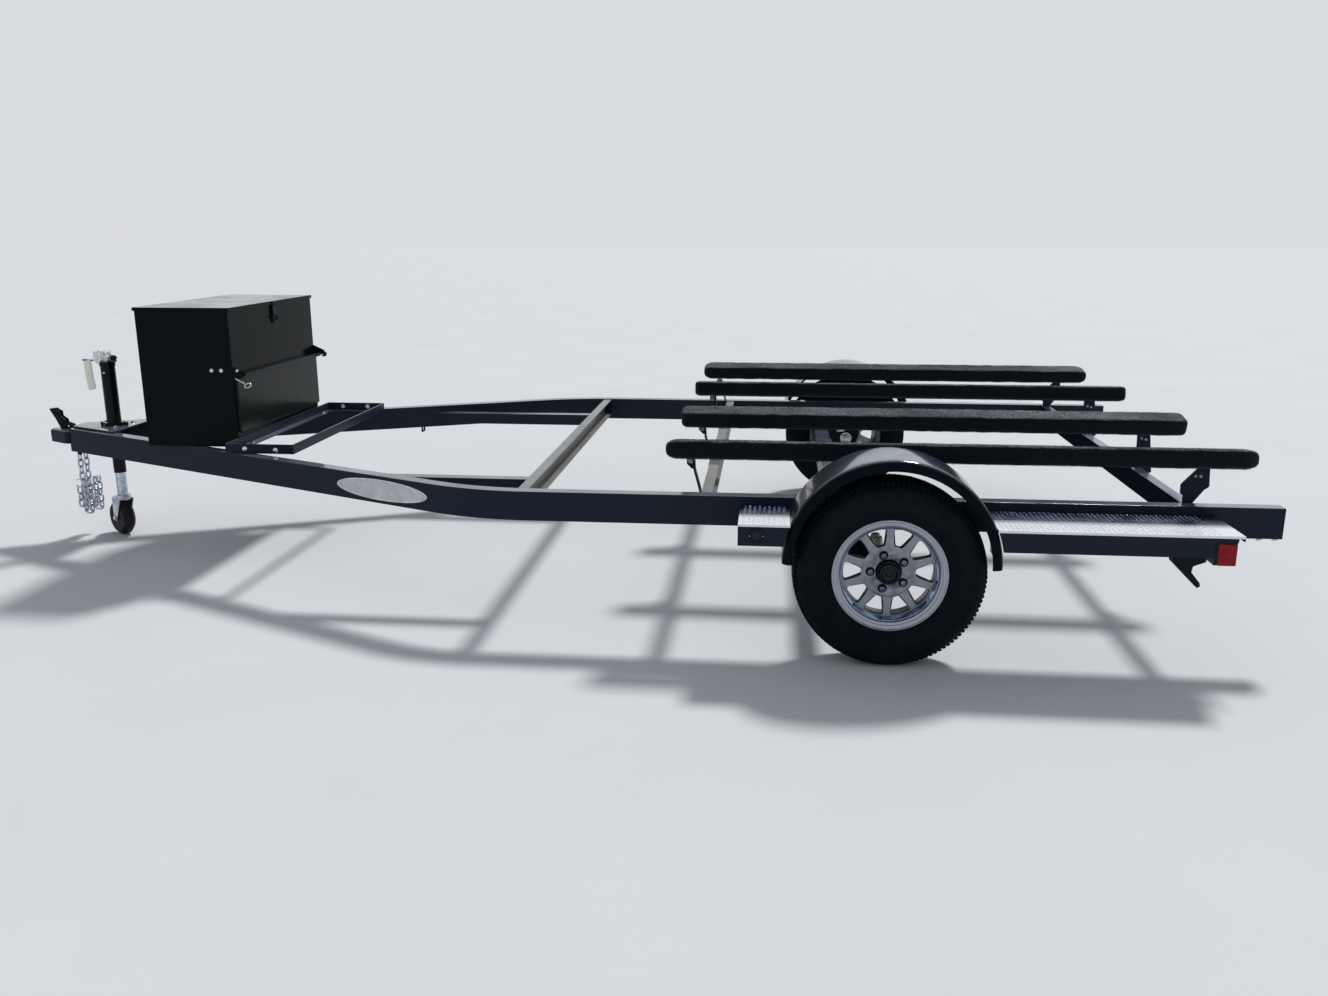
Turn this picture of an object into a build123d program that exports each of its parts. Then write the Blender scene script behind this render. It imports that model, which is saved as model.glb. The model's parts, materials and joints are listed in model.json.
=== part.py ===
"""Two-place watercraft trailer: tube frame, four carpeted bunks, tongue toolbox and tongue jack."""
from build123d import *
from math import atan2, cos, degrees, radians, sin, sqrt, tan
import os

# Frame of the model: +X towards the coupler, +Y to the trailer's left, Z = 0 on the ground.
# Distances "ahead" are measured forward from the wheel axle, and turned into X by along().

# Overall layout
rear_reach = 1247.0
nose_ahead = 3590.0
axle_x = (rear_reach - nose_ahead) / 2

# Main rails, one bent rectangular tube on each side
rail_width = 50.8
rail_height = 101.6
rail_wall = 4.8
rail_top = 499.0
rail_outer_y = 1042.0
rail_bend_ahead = 1376.0
rail_bend_radius = 800.0
leg_end_ahead = 3462.0
leg_end_y = 43.9
leg_trim = 60.0

# Straight braces between the tongue legs and the front crossmember
brace_size = 50.8
brace_wall = 3.2
brace_inset = 342.0
brace_drop = 32.0

# Channel crossmembers: depth, flange and wall of the section
channel_depth = 76.2
channel_flange = 38.0
channel_wall = 5.0
channel_drop = 4.0
front_cross_ahead = 1240.0
bunk_cross_ahead = 610.0
rear_cross_ahead = -948.0

# Carpeted bunks
bunk_width = 101.0
bunk_thick = 60.0
bunk_front_ahead = 725.0
bunk_rear_ahead = -1147.0
bunk_tilt = 10.0
bunk_outer_inset = 32.0
bunk_pair_gap = 636.0
bunk_z = 649.0
bunk_end_round = 30.0
bunk_edge_chamfer = 9.0

# Bunk brackets. Each outline has its foot points (ahead of the crossmember's web, above its top) and its
# seat points (ahead of the web), which stand at the bunk's underside.
bracket_thick = 6.0
bracket_stand_in = 14.0
outer_gusset_foot = ((-2.0, 60.0), (-2.0, 0.0), (-34.0, 0.0), (-70.0, 50.0))
outer_gusset_seat = (-74.0, -40.0)
inner_gusset_foot = ((-38.0, 0.0), (-38.0, -60.0), (-98.0, -30.0))
inner_gusset_seat = (-80.0, -34.0)
strap_foot = ((6.0, -62.0), (0.0, -62.0), (0.0, 4.0), (20.0, 78.0))
strap_seat = (22.0, 28.0)
strap_elbow = ((26.0, 78.0), (6.0, 4.0))
strap_width = 38.0
strap_stand_in = 3.0
ear_out = 50.0
ear_down = 34.0

# Axle and hubs
axle_tube = 70.0
axle_wall = 6.0
axle_corner = 7.0
axle_tube_ahead = 138.0
axle_seat_plate = 8.0
axle_seat_length = 180.0
axle_seat_width = 70.8
arm_thick = 28.0
arm_boss_radius = 34.0
arm_eye_radius = 26.0
arm_gap = 8.0
spindle_radius = 16.0
spindle_past_wheel = 8.0
hub_radius = 38.0
hub_back_gap = 4.0
hub_seat_out = 4.0
hub_flange_radius = 74.0
hub_flange_thick = 10.0
stud_circle = 114.3
stud_count = 5
stud_radius = 6.35
stud_length = 30.0
stud_clearance = 0.8
cap_radius = 40.0
cap_length = 52.0
cap_bevel = 10.0
bearing_gap = 0.3
bearing_end_play = 2.0

# Wheels: 13 inch rims and radial trailer tyres
wheel_track_out = 143.0
tyre_diameter = 610.0
tyre_width = 177.0
bead_radius = 165.1
rim_width = 138.0
rim_flange_radius = 182.5
rim_lip_radius = 155.0
rim_wall = 5.0
rim_well = 14.0
rim_well_back = 35.0
rim_flange_slope = 7.0
bead_gap = 0.3
tyre_tread_wall = 16.0
tyre_inside_half = 58.0
tyre_bead_width = 14.0
tyre_widest_up = 46.0
tyre_shoulder_down = 30.0
tyre_shoulder_in = 7.0
tyre_tread_inset = 37.0
spoke_count = 10
spoke_width = 24.0
spoke_thick = 16.0
spoke_recess = 46.0
rim_bore_radius = 41.0
rim_centre_radius = 80.0
rim_pad_raise = 5.0
rim_seat_gap = 0.3
lug_pocket_radius = 13.0
lug_pocket_depth = 9.0
window_outer_radius = 150.0

# Fenders, half rings rolled over the wheels, with a round fold into the outer lip
fender_width = 216.0
fender_inset = 34.0
fender_radius = 338.0
fender_crown_z = 681.0
fender_wall = 3.0
fender_lip = 34.0
fender_fold = 24.0

# Steps with tread plate tops, between fender and rail
step_top_z = 470.0
step_depth = 68.0
step_wall = 3.0
step_front_ahead = 476.0
step_rear_ahead = -1031.0
step_in_from_fender = 2.0
step_tuck = 40.0
step_end_gap = 0.3
step_rear_lip = 18.0
step_lip_depth = 15.0

# Lamps: red corner lamps let into the rear skirts, and round side markers
lamp_length = 66.0
lamp_width = 62.0
lamp_top_strip = 18.0
lamp_drop = 24.0
lamp_gap = 0.3
lamp_round = 5.0
marker_radius = 24.0
marker_depth = 9.0
marker_dome = 4.0
marker_ahead = 418.0

# Coupler for a 2 inch ball
ball_radius = 25.4
ball_clearance = 0.8
coupler_wall = 6.0
coupler_bottom = 432.0
coupler_top = 488.0
coupler_crown = 10.0
coupler_skirt = 5.0
coupler_heel = 20.0
coupler_round = 14.0

# Latch lever's outline, raised: distance ahead and height
lever_outline = (
    (3482.0, 488.0), (3538.0, 488.0), (3558.0, 531.0), (3583.0, 576.0), (3558.0, 579.0),
    (3533.0, 564.0), (3532.0, 544.0), (3511.0, 529.0), (3509.0, 516.0), (3480.0, 506.0),
)
lever_width = 24.0
lever_cheek = 4.0
lever_web = 6.0

# Tongue jack
jack_ahead = 3290.0
jack_tube_radius = 30.0
jack_lower_radius = 26.0
jack_tube_wall = 4.0
jack_tube_bottom = 292.0
jack_step_z = 430.0
jack_tube_top = 770.0
jack_cap_height = 18.0
jack_cap_over = 3.0
jack_plate_thick = 8.0
jack_plate_front = 6.0
jack_plate_rear = 95.0
jack_flange_reach = 48.0
jack_flange_thick = 14.0
jack_leg_gap = 0.3
jack_leg_overlap = 300.0
crank_front = 132.0
crank_rear = 50.0
crank_width = 24.0
crank_thick = 7.0
crank_angle = 12.0
knob_radius = 14.0
knob_height = 22.0
caster_radius = 80.0
caster_width = 54.0
caster_trail = 30.0
caster_angle = 33.0
caster_shoulder = 15.0
caster_pin_radius = 6.0
fork_wall = 4.0
fork_play = 2.0
fork_over_wheel = 8.0
fork_crown_thick = 6.0
fork_collar_height = 11.7
fork_collar_over = 9.0

# Safety chains, their tabs and their paths as runs of links: way of the run, number of links
chain_ahead = 3459.0
chain_y = 22.0
chain_tab_thick = 5.0
chain_tab_back = 22.0
chain_tab_half = 9.0
chain_eye_drop = 18.0
chain_eye_play = 2.2
link_wire = 6.0
link_pitch = 30.0
link_inner = 14.0
link_slack = 0.8
hook_radius = 20.0
hook_throat = 12.0
chain_runs_left = (("down", 9), ("back", 1), ("up", 5), ("out", 1), ("down", 4), ("ahead", 1), ("up", 3))
chain_runs_right = (("down", 8), ("back", 1), ("up", 4), ("out", 1), ("down", 5), ("ahead", 1), ("up", 2))

# Licence plate arm under the left rear step, and the tie ring under the right tongue leg
plate_arm_width = 30.0
plate_arm_outline = (
    (-850.0, 0.0), (-926.0, 0.0), (-926.0, -13.0), (-890.0, -27.0), (-887.0, -46.0), (-914.0, -78.0),
    (-917.0, -89.0), (-908.0, -95.0), (-827.0, -14.0), (-829.0, -1.0), (-838.0, -1.0),
)
ring_ahead = 2100.0
ring_width = 44.0
ring_depth = 26.0
ring_bar = 8.0

# Toolbox on the tongue
box_rear_ahead = 2515.0
box_front_ahead = 2900.0
box_half_width = 400.0
box_top = 1055.0
box_wall = 3.0
lid_height = 6.0
lid_skirt = 8.0
lid_overhang = 6.0
lid_gap = 0.3
door_top = 788.0
door_bottom = 560.0
door_thick = 13.0
door_lip = 34.0
door_lip_thick = 5.0
door_gap = 0.3
door_margin = 8.0
door_opening_margin = 34.0
ear_reach = 52.0
ear_low = 765.0
ear_high = 826.0
ear_tip = 14.0

# Angle iron rack behind the toolbox
rack_rear_ahead = 2236.0
rack_half_width = 520.0
rack_angle = 38.0
rack_wall = 5.0

# Values worked out from the sizes above
rail_bottom = rail_top - rail_height
rail_y = rail_outer_y - rail_width / 2
rail_inner_y = rail_outer_y - rail_width
stud_start = 90 + 180 / spoke_count
tongue_angle = degrees(atan2(rail_y - leg_end_y, leg_end_ahead - rail_bend_ahead))
brace_y = rail_outer_y - brace_inset
bunk_outer_y = rail_outer_y - bunk_outer_inset
bunk_inner_y = bunk_outer_y - bunk_pair_gap
wheel_mid_y = rail_outer_y + wheel_track_out
hub_seat_y = wheel_mid_y + hub_seat_out
fender_inner_y = rail_outer_y + fender_inset
fender_outer_y = fender_inner_y + fender_width
step_outer_y = fender_outer_y - step_in_from_fender
skirt_rear_ahead = step_rear_ahead + step_rear_lip
jack_leg_radius = jack_lower_radius - jack_tube_wall - jack_leg_gap
axle_z = tyre_diameter / 2
box_bottom = rail_top


def along(ahead):
    """X of a place given by its distance ahead of the axle."""
    return axle_x + ahead


def leg_y(ahead, offset=0.0):
    """Y of a tongue leg's centre line, or of a line offset outwards from it."""
    inward = (ahead - rail_bend_ahead) * tan(radians(tongue_angle))
    return rail_y - inward + offset / cos(radians(tongue_angle))


def rail_inside(ahead):
    """Y of the rail's inner face at a place on its straight side or in its bend."""
    into_bend = max(0.0, ahead - rail_bend_ahead + rail_bend_radius * tan(radians(tongue_angle / 2)))
    inner_radius = rail_bend_radius - rail_width / 2
    return rail_y - rail_bend_radius + sqrt(inner_radius**2 - into_bend**2)


def write(piece, node):
    """Label one finished piece and write it to its own STEP file."""
    piece.label = node
    export_step(piece, f"parts/{node}.step")


def write_pair(piece, name):
    """Write a left-hand piece and its mirror image on the right."""
    write(piece, f"{name}_left")
    write(mirror(piece, about=Plane.XZ), f"{name}_right")


def make_rail():
    """Rectangular tube: straight side, one wide bend, straight tongue leg cut square to the trailer."""
    past_end = leg_end_ahead + leg_trim
    with BuildPart() as rail:
        with BuildLine() as path:
            FilletPolyline(
                (along(-rear_reach), rail_y, rail_top - rail_height / 2),
                (along(rail_bend_ahead), rail_y, rail_top - rail_height / 2),
                (along(past_end), leg_y(past_end), rail_top - rail_height / 2),
                radius=rail_bend_radius,
            )
        with BuildSketch(Plane(origin=path.line @ 0, x_dir=(0, 1, 0), z_dir=(1, 0, 0))):
            Rectangle(rail_width, rail_height)
            Rectangle(rail_width - 2 * rail_wall, rail_height - 2 * rail_wall, mode=Mode.SUBTRACT)
        sweep(path=path.line)
        split(bisect_by=Plane.YZ.offset(along(leg_end_ahead)), keep=Keep.BOTTOM)
        with BuildSketch(Plane.YZ.offset(along(-rear_reach))):
            with Locations((rail_y, rail_top - rail_height / 2)):
                Rectangle(rail_width - 2 * rail_wall, rail_height - 2 * rail_wall)
        extrude(amount=rail_wall)
    return rail.part


def make_brace():
    """Square tube parallel to the side rails, from the tongue leg to the front crossmember."""
    top = rail_top - brace_drop
    meet_ahead = rail_bend_ahead + (rail_y - brace_y) / tan(radians(tongue_angle))
    with BuildPart() as brace:
        with BuildSketch(Plane.YZ.offset(along(front_cross_ahead))):
            with Locations((brace_y, top - brace_size / 2)):
                Rectangle(brace_size, brace_size)
                Rectangle(brace_size - 2 * brace_wall, brace_size - 2 * brace_wall, mode=Mode.SUBTRACT)
        extrude(amount=meet_ahead - front_cross_ahead)
        leg_face = Plane(
            origin=(along(rail_bend_ahead), leg_y(rail_bend_ahead, -rail_width / 2), 0),
            z_dir=(sin(radians(tongue_angle)), cos(radians(tongue_angle)), 0),
        )
        split(bisect_by=leg_face, keep=Keep.BOTTOM)
    return brace.part


def make_crossmember(ahead, opens):
    """Channel between the rails; its web stands at the given place and its flanges point one way."""
    top = rail_top - channel_drop
    half_length = rail_inside(ahead)
    with BuildPart() as channel:
        with BuildSketch(Plane.XZ.offset(-half_length)):
            with BuildLine():
                Polyline(
                    (along(ahead), top),
                    (along(ahead) + opens * channel_flange, top),
                    (along(ahead) + opens * channel_flange, top - channel_wall),
                    (along(ahead) + opens * channel_wall, top - channel_wall),
                    (along(ahead) + opens * channel_wall, top - channel_depth + channel_wall),
                    (along(ahead) + opens * channel_flange, top - channel_depth + channel_wall),
                    (along(ahead) + opens * channel_flange, top - channel_depth),
                    (along(ahead), top - channel_depth),
                    close=True,
                )
            make_face()
        extrude(amount=2 * half_length)
    return channel.part


def make_axle():
    """Square torsion axle tube under the rails, with a bracket plate under each rail."""
    top = rail_bottom - axle_seat_plate
    half_length = rail_outer_y + arm_gap
    with BuildPart() as axle:
        with BuildSketch(Plane.XZ.offset(-half_length)):
            with Locations((along(axle_tube_ahead), top - axle_tube / 2)):
                RectangleRounded(axle_tube, axle_tube, axle_corner)
                RectangleRounded(
                    axle_tube - 2 * axle_wall, axle_tube - 2 * axle_wall, axle_corner / 2, mode=Mode.SUBTRACT
                )
        extrude(amount=2 * half_length)
        for side in (1, -1):
            with BuildSketch(Plane.XY.offset(top)):
                with Locations((along(axle_tube_ahead), side * rail_y)):
                    Rectangle(axle_seat_length, axle_seat_width)
            extrude(amount=axle_seat_plate)
    return axle.part


def make_arm():
    """Trailing arm from the axle tube's end back to the wheel spindle."""
    pivot = (along(axle_tube_ahead), rail_bottom - axle_seat_plate - axle_tube / 2)
    eye = (along(0), axle_z)
    arm_y = rail_outer_y + arm_gap
    with BuildPart() as arm:
        with BuildSketch(Plane.XZ.offset(-arm_y)):
            with Locations(pivot):
                Circle(arm_boss_radius)
            with Locations(eye):
                Circle(arm_eye_radius)
            make_hull()
        extrude(amount=-arm_thick)
        with BuildSketch(Plane.XZ.offset(-(arm_y + arm_thick))):
            with Locations(eye):
                Circle(spindle_radius)
        extrude(amount=-(wheel_mid_y + spindle_past_wheel - arm_y - arm_thick))
    return arm.part


def make_hub():
    """Hub barrel on the spindle, wheel flange, five studs and the bearing cap."""
    inner = rail_outer_y + arm_gap + arm_thick + hub_back_gap
    bore_end = wheel_mid_y + spindle_past_wheel + bearing_end_play
    with BuildPart() as hub:
        with BuildSketch(Plane.XY):
            with BuildLine():
                Polyline(
                    (spindle_radius + bearing_gap, inner),
                    (hub_radius, inner),
                    (hub_radius, hub_seat_y - hub_flange_thick),
                    (hub_flange_radius, hub_seat_y - hub_flange_thick),
                    (hub_flange_radius, hub_seat_y),
                    (cap_radius, hub_seat_y),
                    (cap_radius, hub_seat_y + cap_length - cap_bevel),
                    (cap_radius - cap_bevel, hub_seat_y + cap_length),
                    (0, hub_seat_y + cap_length),
                    (0, bore_end),
                    (spindle_radius + bearing_gap, bore_end),
                    close=True,
                )
            make_face()
        revolve(axis=Axis.Y)
        with BuildSketch(Plane.XZ.offset(-hub_seat_y)):
            with PolarLocations(stud_circle / 2, stud_count, start_angle=stud_start):
                RegularPolygon(stud_radius, 6)
        extrude(amount=-stud_length)
    return Pos(along(0), 0, axle_z) * hub.part


def spoke_window():
    """Opening between two spokes, centred on +X: straight sides between a round root and a round tip."""
    root = radians(180 / spoke_count) - spoke_width / 2 / rim_centre_radius
    tip = radians(180 / spoke_count) - spoke_width / 2 / window_outer_radius
    corners = []
    for radius, half in ((window_outer_radius, tip), (rim_centre_radius, root)):
        corners.append((radius * cos(half), radius * sin(half)))
        corners.append((radius * cos(half), -radius * sin(half)))
    with BuildSketch() as window:
        with BuildLine():
            ThreePointArc(corners[0], (window_outer_radius, 0), corners[1])
            Line(corners[1], corners[3])
            ThreePointArc(corners[3], (rim_centre_radius, 0), corners[2])
            Line(corners[2], corners[0])
        make_face()
    return window.sketch


def make_rim():
    """Cast ten-spoke wheel: barrel with a wide lip, recessed spokes, raised centre pad and lug pockets."""
    back = wheel_mid_y - rim_width / 2
    front = wheel_mid_y + rim_width / 2
    face = front - spoke_recess
    with BuildPart() as rim:
        with BuildSketch(Plane.XY):
            with BuildLine():
                Polyline(
                    (rim_flange_radius, back),
                    (rim_flange_radius, back + rim_wall),
                    (bead_radius, back + rim_wall + rim_flange_slope),
                    (bead_radius - rim_well, back + rim_well_back),
                    (bead_radius - rim_well, front - spoke_recess),
                    (bead_radius, front - rim_wall - rim_flange_slope),
                    (rim_flange_radius, front - rim_wall),
                    (rim_flange_radius, front),
                    (rim_lip_radius, front),
                    (bead_radius - rim_well - rim_wall, front - spoke_recess),
                    (bead_radius - rim_well - rim_wall, back + rim_well_back),
                    (bead_radius - rim_wall, back),
                    close=True,
                )
            make_face()
        revolve(axis=Axis.Y)
        with BuildSketch(Plane.XZ.offset(-face)):
            Circle(bead_radius - rim_well - rim_wall / 2)
            with PolarLocations(0, spoke_count, start_angle=90 + 180 / spoke_count):
                add(spoke_window(), mode=Mode.SUBTRACT)
        extrude(amount=spoke_thick)
        with BuildSketch(Plane.XZ.offset(-(face + rim_pad_raise))):
            Circle(rim_centre_radius - rim_pad_raise)
        extrude(amount=face + rim_pad_raise - hub_seat_y - rim_seat_gap)
        with BuildSketch(Plane.XZ.offset(-(face + rim_pad_raise))):
            Circle(rim_bore_radius)
            with PolarLocations(stud_circle / 2, stud_count, start_angle=stud_start):
                Circle(stud_radius + stud_clearance)
        extrude(amount=rim_width, mode=Mode.SUBTRACT)
        with BuildSketch(Plane.XZ.offset(-(face + rim_pad_raise))):
            with PolarLocations(stud_circle / 2, stud_count, start_angle=stud_start):
                Circle(lug_pocket_radius)
        extrude(amount=lug_pocket_depth, mode=Mode.SUBTRACT)
    return Pos(along(0), 0, axle_z) * rim.part


def make_tyre():
    """Radial trailer tyre on its rim, hollow between its beads."""
    half = tyre_width / 2
    outer = tyre_diameter / 2
    bead = rim_width / 2
    bead_seat = bead - rim_wall - rim_flange_slope - bead_gap
    # Half of the section: radius, and distance from the wheel's middle plane
    section = (
        (outer - tyre_tread_wall, tyre_inside_half),
        (bead_radius + bead_gap, bead_seat - tyre_bead_width),
        (bead_radius + bead_gap, bead_seat),
        (rim_flange_radius + bead_gap, bead - rim_wall - bead_gap),
        (rim_flange_radius + tyre_widest_up, half),
        (outer - tyre_shoulder_down, half - tyre_shoulder_in),
        (outer, half - tyre_tread_inset),
    )
    with BuildPart() as tyre:
        with BuildSketch(Plane.XY):
            with BuildLine():
                Polyline(
                    *[(r, wheel_mid_y + out) for r, out in section],
                    *[(r, wheel_mid_y - out) for r, out in reversed(section)],
                    close=True,
                )
            make_face()
        revolve(axis=Axis.Y)
    return Pos(along(0), 0, axle_z) * tyre.part


def make_fender():
    """Half ring over the tyre: flat crown, round fold and a lip turned down at the outer edge."""
    inside = fender_radius - fender_wall
    fold_in = fender_fold - fender_wall
    with BuildPart() as fender:
        with BuildSketch(Plane.XY):
            with BuildLine():
                Line((fender_radius, fender_inner_y), (fender_radius, fender_outer_y - fender_fold))
                RadiusArc(
                    (fender_radius, fender_outer_y - fender_fold),
                    (fender_radius - fender_fold, fender_outer_y),
                    -fender_fold,
                )
                Line(
                    (fender_radius - fender_fold, fender_outer_y),
                    (fender_radius - fender_lip, fender_outer_y),
                )
                Line(
                    (fender_radius - fender_lip, fender_outer_y),
                    (fender_radius - fender_lip, fender_outer_y - fender_wall),
                )
                Line(
                    (fender_radius - fender_lip, fender_outer_y - fender_wall),
                    (fender_radius - fender_fold, fender_outer_y - fender_wall),
                )
                RadiusArc(
                    (fender_radius - fender_fold, fender_outer_y - fender_wall),
                    (inside, fender_outer_y - fender_fold),
                    fold_in,
                )
                Line((inside, fender_outer_y - fender_fold), (inside, fender_inner_y))
                Line((inside, fender_inner_y), (fender_radius, fender_inner_y))
            make_face()
        revolve(axis=Axis((0, 0, 0), (0, -1, 0)), revolution_arc=180)
    return Pos(along(0), 0, fender_crown_z - fender_radius) * fender.part


def lamp_place(side):
    """Centre of a corner lamp's top, inside the rear end of the step's outer skirt."""
    return (along(skirt_rear_ahead + lamp_length / 2), side * (step_outer_y - lamp_width / 2))


def make_step(front_ahead, rear_ahead, rear_lip):
    """Folded step: plate top, outer skirt and end skirt, open below, trimmed round to the fender's curve.

    The rear step's plate runs on past its end skirt into a short lip; its corner is cut out for the lamp.
    """
    length = front_ahead - rear_ahead
    middle = (front_ahead + rear_ahead) / 2
    width = step_outer_y - rail_outer_y
    with BuildPart() as step:
        with BuildSketch(Plane.XY.offset(step_top_z)):
            with Locations((along(middle), rail_outer_y)):
                Rectangle(length, width, align=(Align.CENTER, Align.MIN))
        extrude(amount=-step_depth)
        with BuildSketch(Plane.XY.offset(step_top_z - step_wall)):
            with Locations((along(middle), rail_outer_y + step_wall)):
                Rectangle(length - 2 * step_wall, width - 2 * step_wall, align=(Align.CENTER, Align.MIN))
        extrude(amount=-step_depth, mode=Mode.SUBTRACT)
        with BuildSketch(Plane.XZ.offset(-rail_outer_y)):
            with Locations((along(0), fender_crown_z - fender_radius)):
                Circle(fender_radius + step_end_gap)
        extrude(amount=-2 * width, mode=Mode.SUBTRACT)
        if rear_lip:
            with BuildSketch(Plane.XY.offset(step_top_z)):
                with Locations((along(rear_ahead), rail_outer_y)):
                    Rectangle(rear_lip, width, align=(Align.MAX, Align.MIN))
            extrude(amount=-step_wall)
            with BuildSketch(Plane.XY.offset(step_top_z)):
                with Locations((along(rear_ahead - rear_lip), rail_outer_y)):
                    Rectangle(step_wall, width, align=(Align.MIN, Align.MIN))
            extrude(amount=-step_lip_depth)
            with BuildSketch(Plane.XY.offset(step_top_z - lamp_top_strip)):
                with Locations(lamp_place(1)):
                    Rectangle(lamp_length, lamp_width)
            extrude(amount=-step_depth, mode=Mode.SUBTRACT)
    return step.part


def make_bunk(y, tilt):
    """Carpeted board with rounded ends, tilted about its own length."""
    length = bunk_front_ahead - bunk_rear_ahead
    with BuildPart() as bunk:
        with BuildSketch(Plane.XY):
            RectangleRounded(length, bunk_width, bunk_end_round)
        extrude(amount=bunk_thick / 2, both=True)
        chamfer(bunk.faces().filter_by(Axis.Z).edges(), bunk_edge_chamfer)
    return Pos(along((bunk_front_ahead + bunk_rear_ahead) / 2), y, bunk_z) * Rot(tilt, 0, 0) * bunk.part


def bunk_seat(y, tilt, stand_y, thick):
    """Height of a bunk's underside over a bracket at stand_y, at the bracket's lower top edge."""
    under = bunk_z - bunk_thick / 2 / cos(radians(bunk_tilt))
    return under + (stand_y - y) * tan(radians(tilt)) - thick / 2 * tan(radians(bunk_tilt))


def make_rear_brackets():
    """Upright gusset plates from the rear crossmember to the undersides of the bunks."""
    foot = rail_top - channel_drop
    with BuildPart() as brackets:
        for y, tilt in bunk_rows:
            outer = abs(y) == bunk_outer_y
            stand_y = y * (rail_inner_y - bracket_stand_in) / abs(y) if outer else y
            seat = bunk_seat(y, tilt, stand_y, bracket_thick)
            low = outer_gusset_foot if outer else inner_gusset_foot
            high = outer_gusset_seat if outer else inner_gusset_seat
            with BuildSketch(Plane.XZ.offset(-stand_y - bracket_thick / 2)):
                with BuildLine():
                    Polyline(
                        *[(along(rear_cross_ahead) + ahead, foot + above) for ahead, above in low],
                        *[(along(rear_cross_ahead) + ahead, seat) for ahead in high],
                        close=True,
                    )
                make_face()
            extrude(amount=bracket_thick)
    return brackets.part


def make_front_brackets():
    """Bent straps up the front of the bunk crossmember, each with a bolted ear under its bunk."""
    foot = rail_top - channel_drop
    with BuildPart() as brackets:
        for y, tilt in bunk_rows:
            outer = abs(y) == bunk_outer_y
            stand_y = y * (rail_inner_y - strap_stand_in - strap_width / 2) / abs(y) if outer else y
            seat = bunk_seat(y, tilt, stand_y, strap_width)
            with BuildSketch(Plane.XZ.offset(-stand_y - strap_width / 2)):
                with BuildLine():
                    Polyline(
                        *[(along(bunk_cross_ahead) + ahead, foot + above) for ahead, above in strap_foot],
                        *[(along(bunk_cross_ahead) + ahead, seat) for ahead in strap_seat],
                        *[(along(bunk_cross_ahead) + ahead, foot + above) for ahead, above in strap_elbow],
                        close=True,
                    )
                make_face()
            extrude(amount=strap_width)
            with BuildSketch(Plane.XZ.offset(-stand_y - bracket_thick / 2)):
                with BuildLine():
                    Polyline(
                        (along(bunk_cross_ahead) + strap_seat[0], seat),
                        (along(bunk_cross_ahead) + ear_out, seat),
                        (along(bunk_cross_ahead) + ear_out, seat - ear_down / 2),
                        (along(bunk_cross_ahead) + ear_out - ear_down / 2, seat - ear_down),
                        (along(bunk_cross_ahead) + strap_seat[0], seat - ear_down),
                        close=True,
                    )
                make_face()
            extrude(amount=bracket_thick)
    return brackets.part


def coupler_outline(inset):
    """Coupler's plan: round nose over the ball, widening to the tongue legs' ends, drawn in by an inset."""
    centre = nose_ahead - ball_radius - ball_clearance - coupler_wall
    rear_half = leg_y(leg_end_ahead, rail_width / 2) + coupler_skirt
    with BuildSketch() as outline:
        with Locations((along(centre), 0)):
            Circle(ball_radius + ball_clearance + coupler_wall - inset)
        with Locations((along(leg_end_ahead + inset), 0)):
            Rectangle(coupler_heel, 2 * (rear_half - inset), align=(Align.MIN, Align.CENTER))
        make_hull()
    return outline.sketch


def make_coupler():
    """Pressed coupler body: ball socket in the nose, hollow between the socket and the tongue legs' ends."""
    centre = nose_ahead - ball_radius - ball_clearance - coupler_wall
    height = coupler_top - coupler_bottom
    with BuildPart() as coupler:
        with BuildSketch(Plane.XY.offset(coupler_bottom)):
            add(coupler_outline(0))
        extrude(amount=height)
        fillet(coupler.faces().sort_by(Axis.Z)[-1].edges().sort_by(Axis.X)[1:], coupler_round)
        with BuildSketch(Plane.XY.offset(coupler_bottom)):
            add(coupler_outline(coupler_wall))
            with Locations((along(centre), 0)):
                Circle(ball_radius + ball_clearance + coupler_wall, mode=Mode.SUBTRACT)
            with Locations((along(centre), 0)):
                Circle(ball_radius + ball_clearance)
        extrude(amount=height - coupler_crown, mode=Mode.SUBTRACT)
    return coupler.part


def make_coupler_lever():
    """Latch lever, a pressed channel standing raised over the coupler: web in front, two cheeks behind."""
    with BuildPart() as lever:
        with BuildSketch(Plane.XZ.offset(-lever_width / 2)):
            with BuildLine():
                Polyline(*[(along(ahead), height) for ahead, height in lever_outline], close=True)
            make_face()
        extrude(amount=lever_width)
        with BuildSketch(Plane.XZ.offset(-lever_width / 2 + lever_cheek)):
            with BuildLine():
                Polyline(
                    *[(along(ahead) - lever_web, height) for ahead, height in lever_outline], close=True
                )
            make_face()
        extrude(amount=lever_width - 2 * lever_cheek, mode=Mode.SUBTRACT)
    return lever.part


def make_jack_plate():
    """Flat plate across the tongue legs, behind the coupler, with the jack's hole in it."""
    front = leg_end_ahead - jack_plate_front
    rear = jack_ahead - jack_plate_rear
    with BuildPart() as plate:
        with BuildSketch(Plane.XY.offset(rail_top)):
            with BuildLine():
                Polyline(
                    (along(front), leg_y(front, 0)),
                    (along(front), -leg_y(front, 0)),
                    (along(rear), -leg_y(rear, 0)),
                    (along(rear), leg_y(rear, 0)),
                    close=True,
                )
            make_face()
            with Locations((along(jack_ahead), 0)):
                Circle(jack_tube_radius, mode=Mode.SUBTRACT)
        extrude(amount=jack_plate_thick)
    return plate.part


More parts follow.
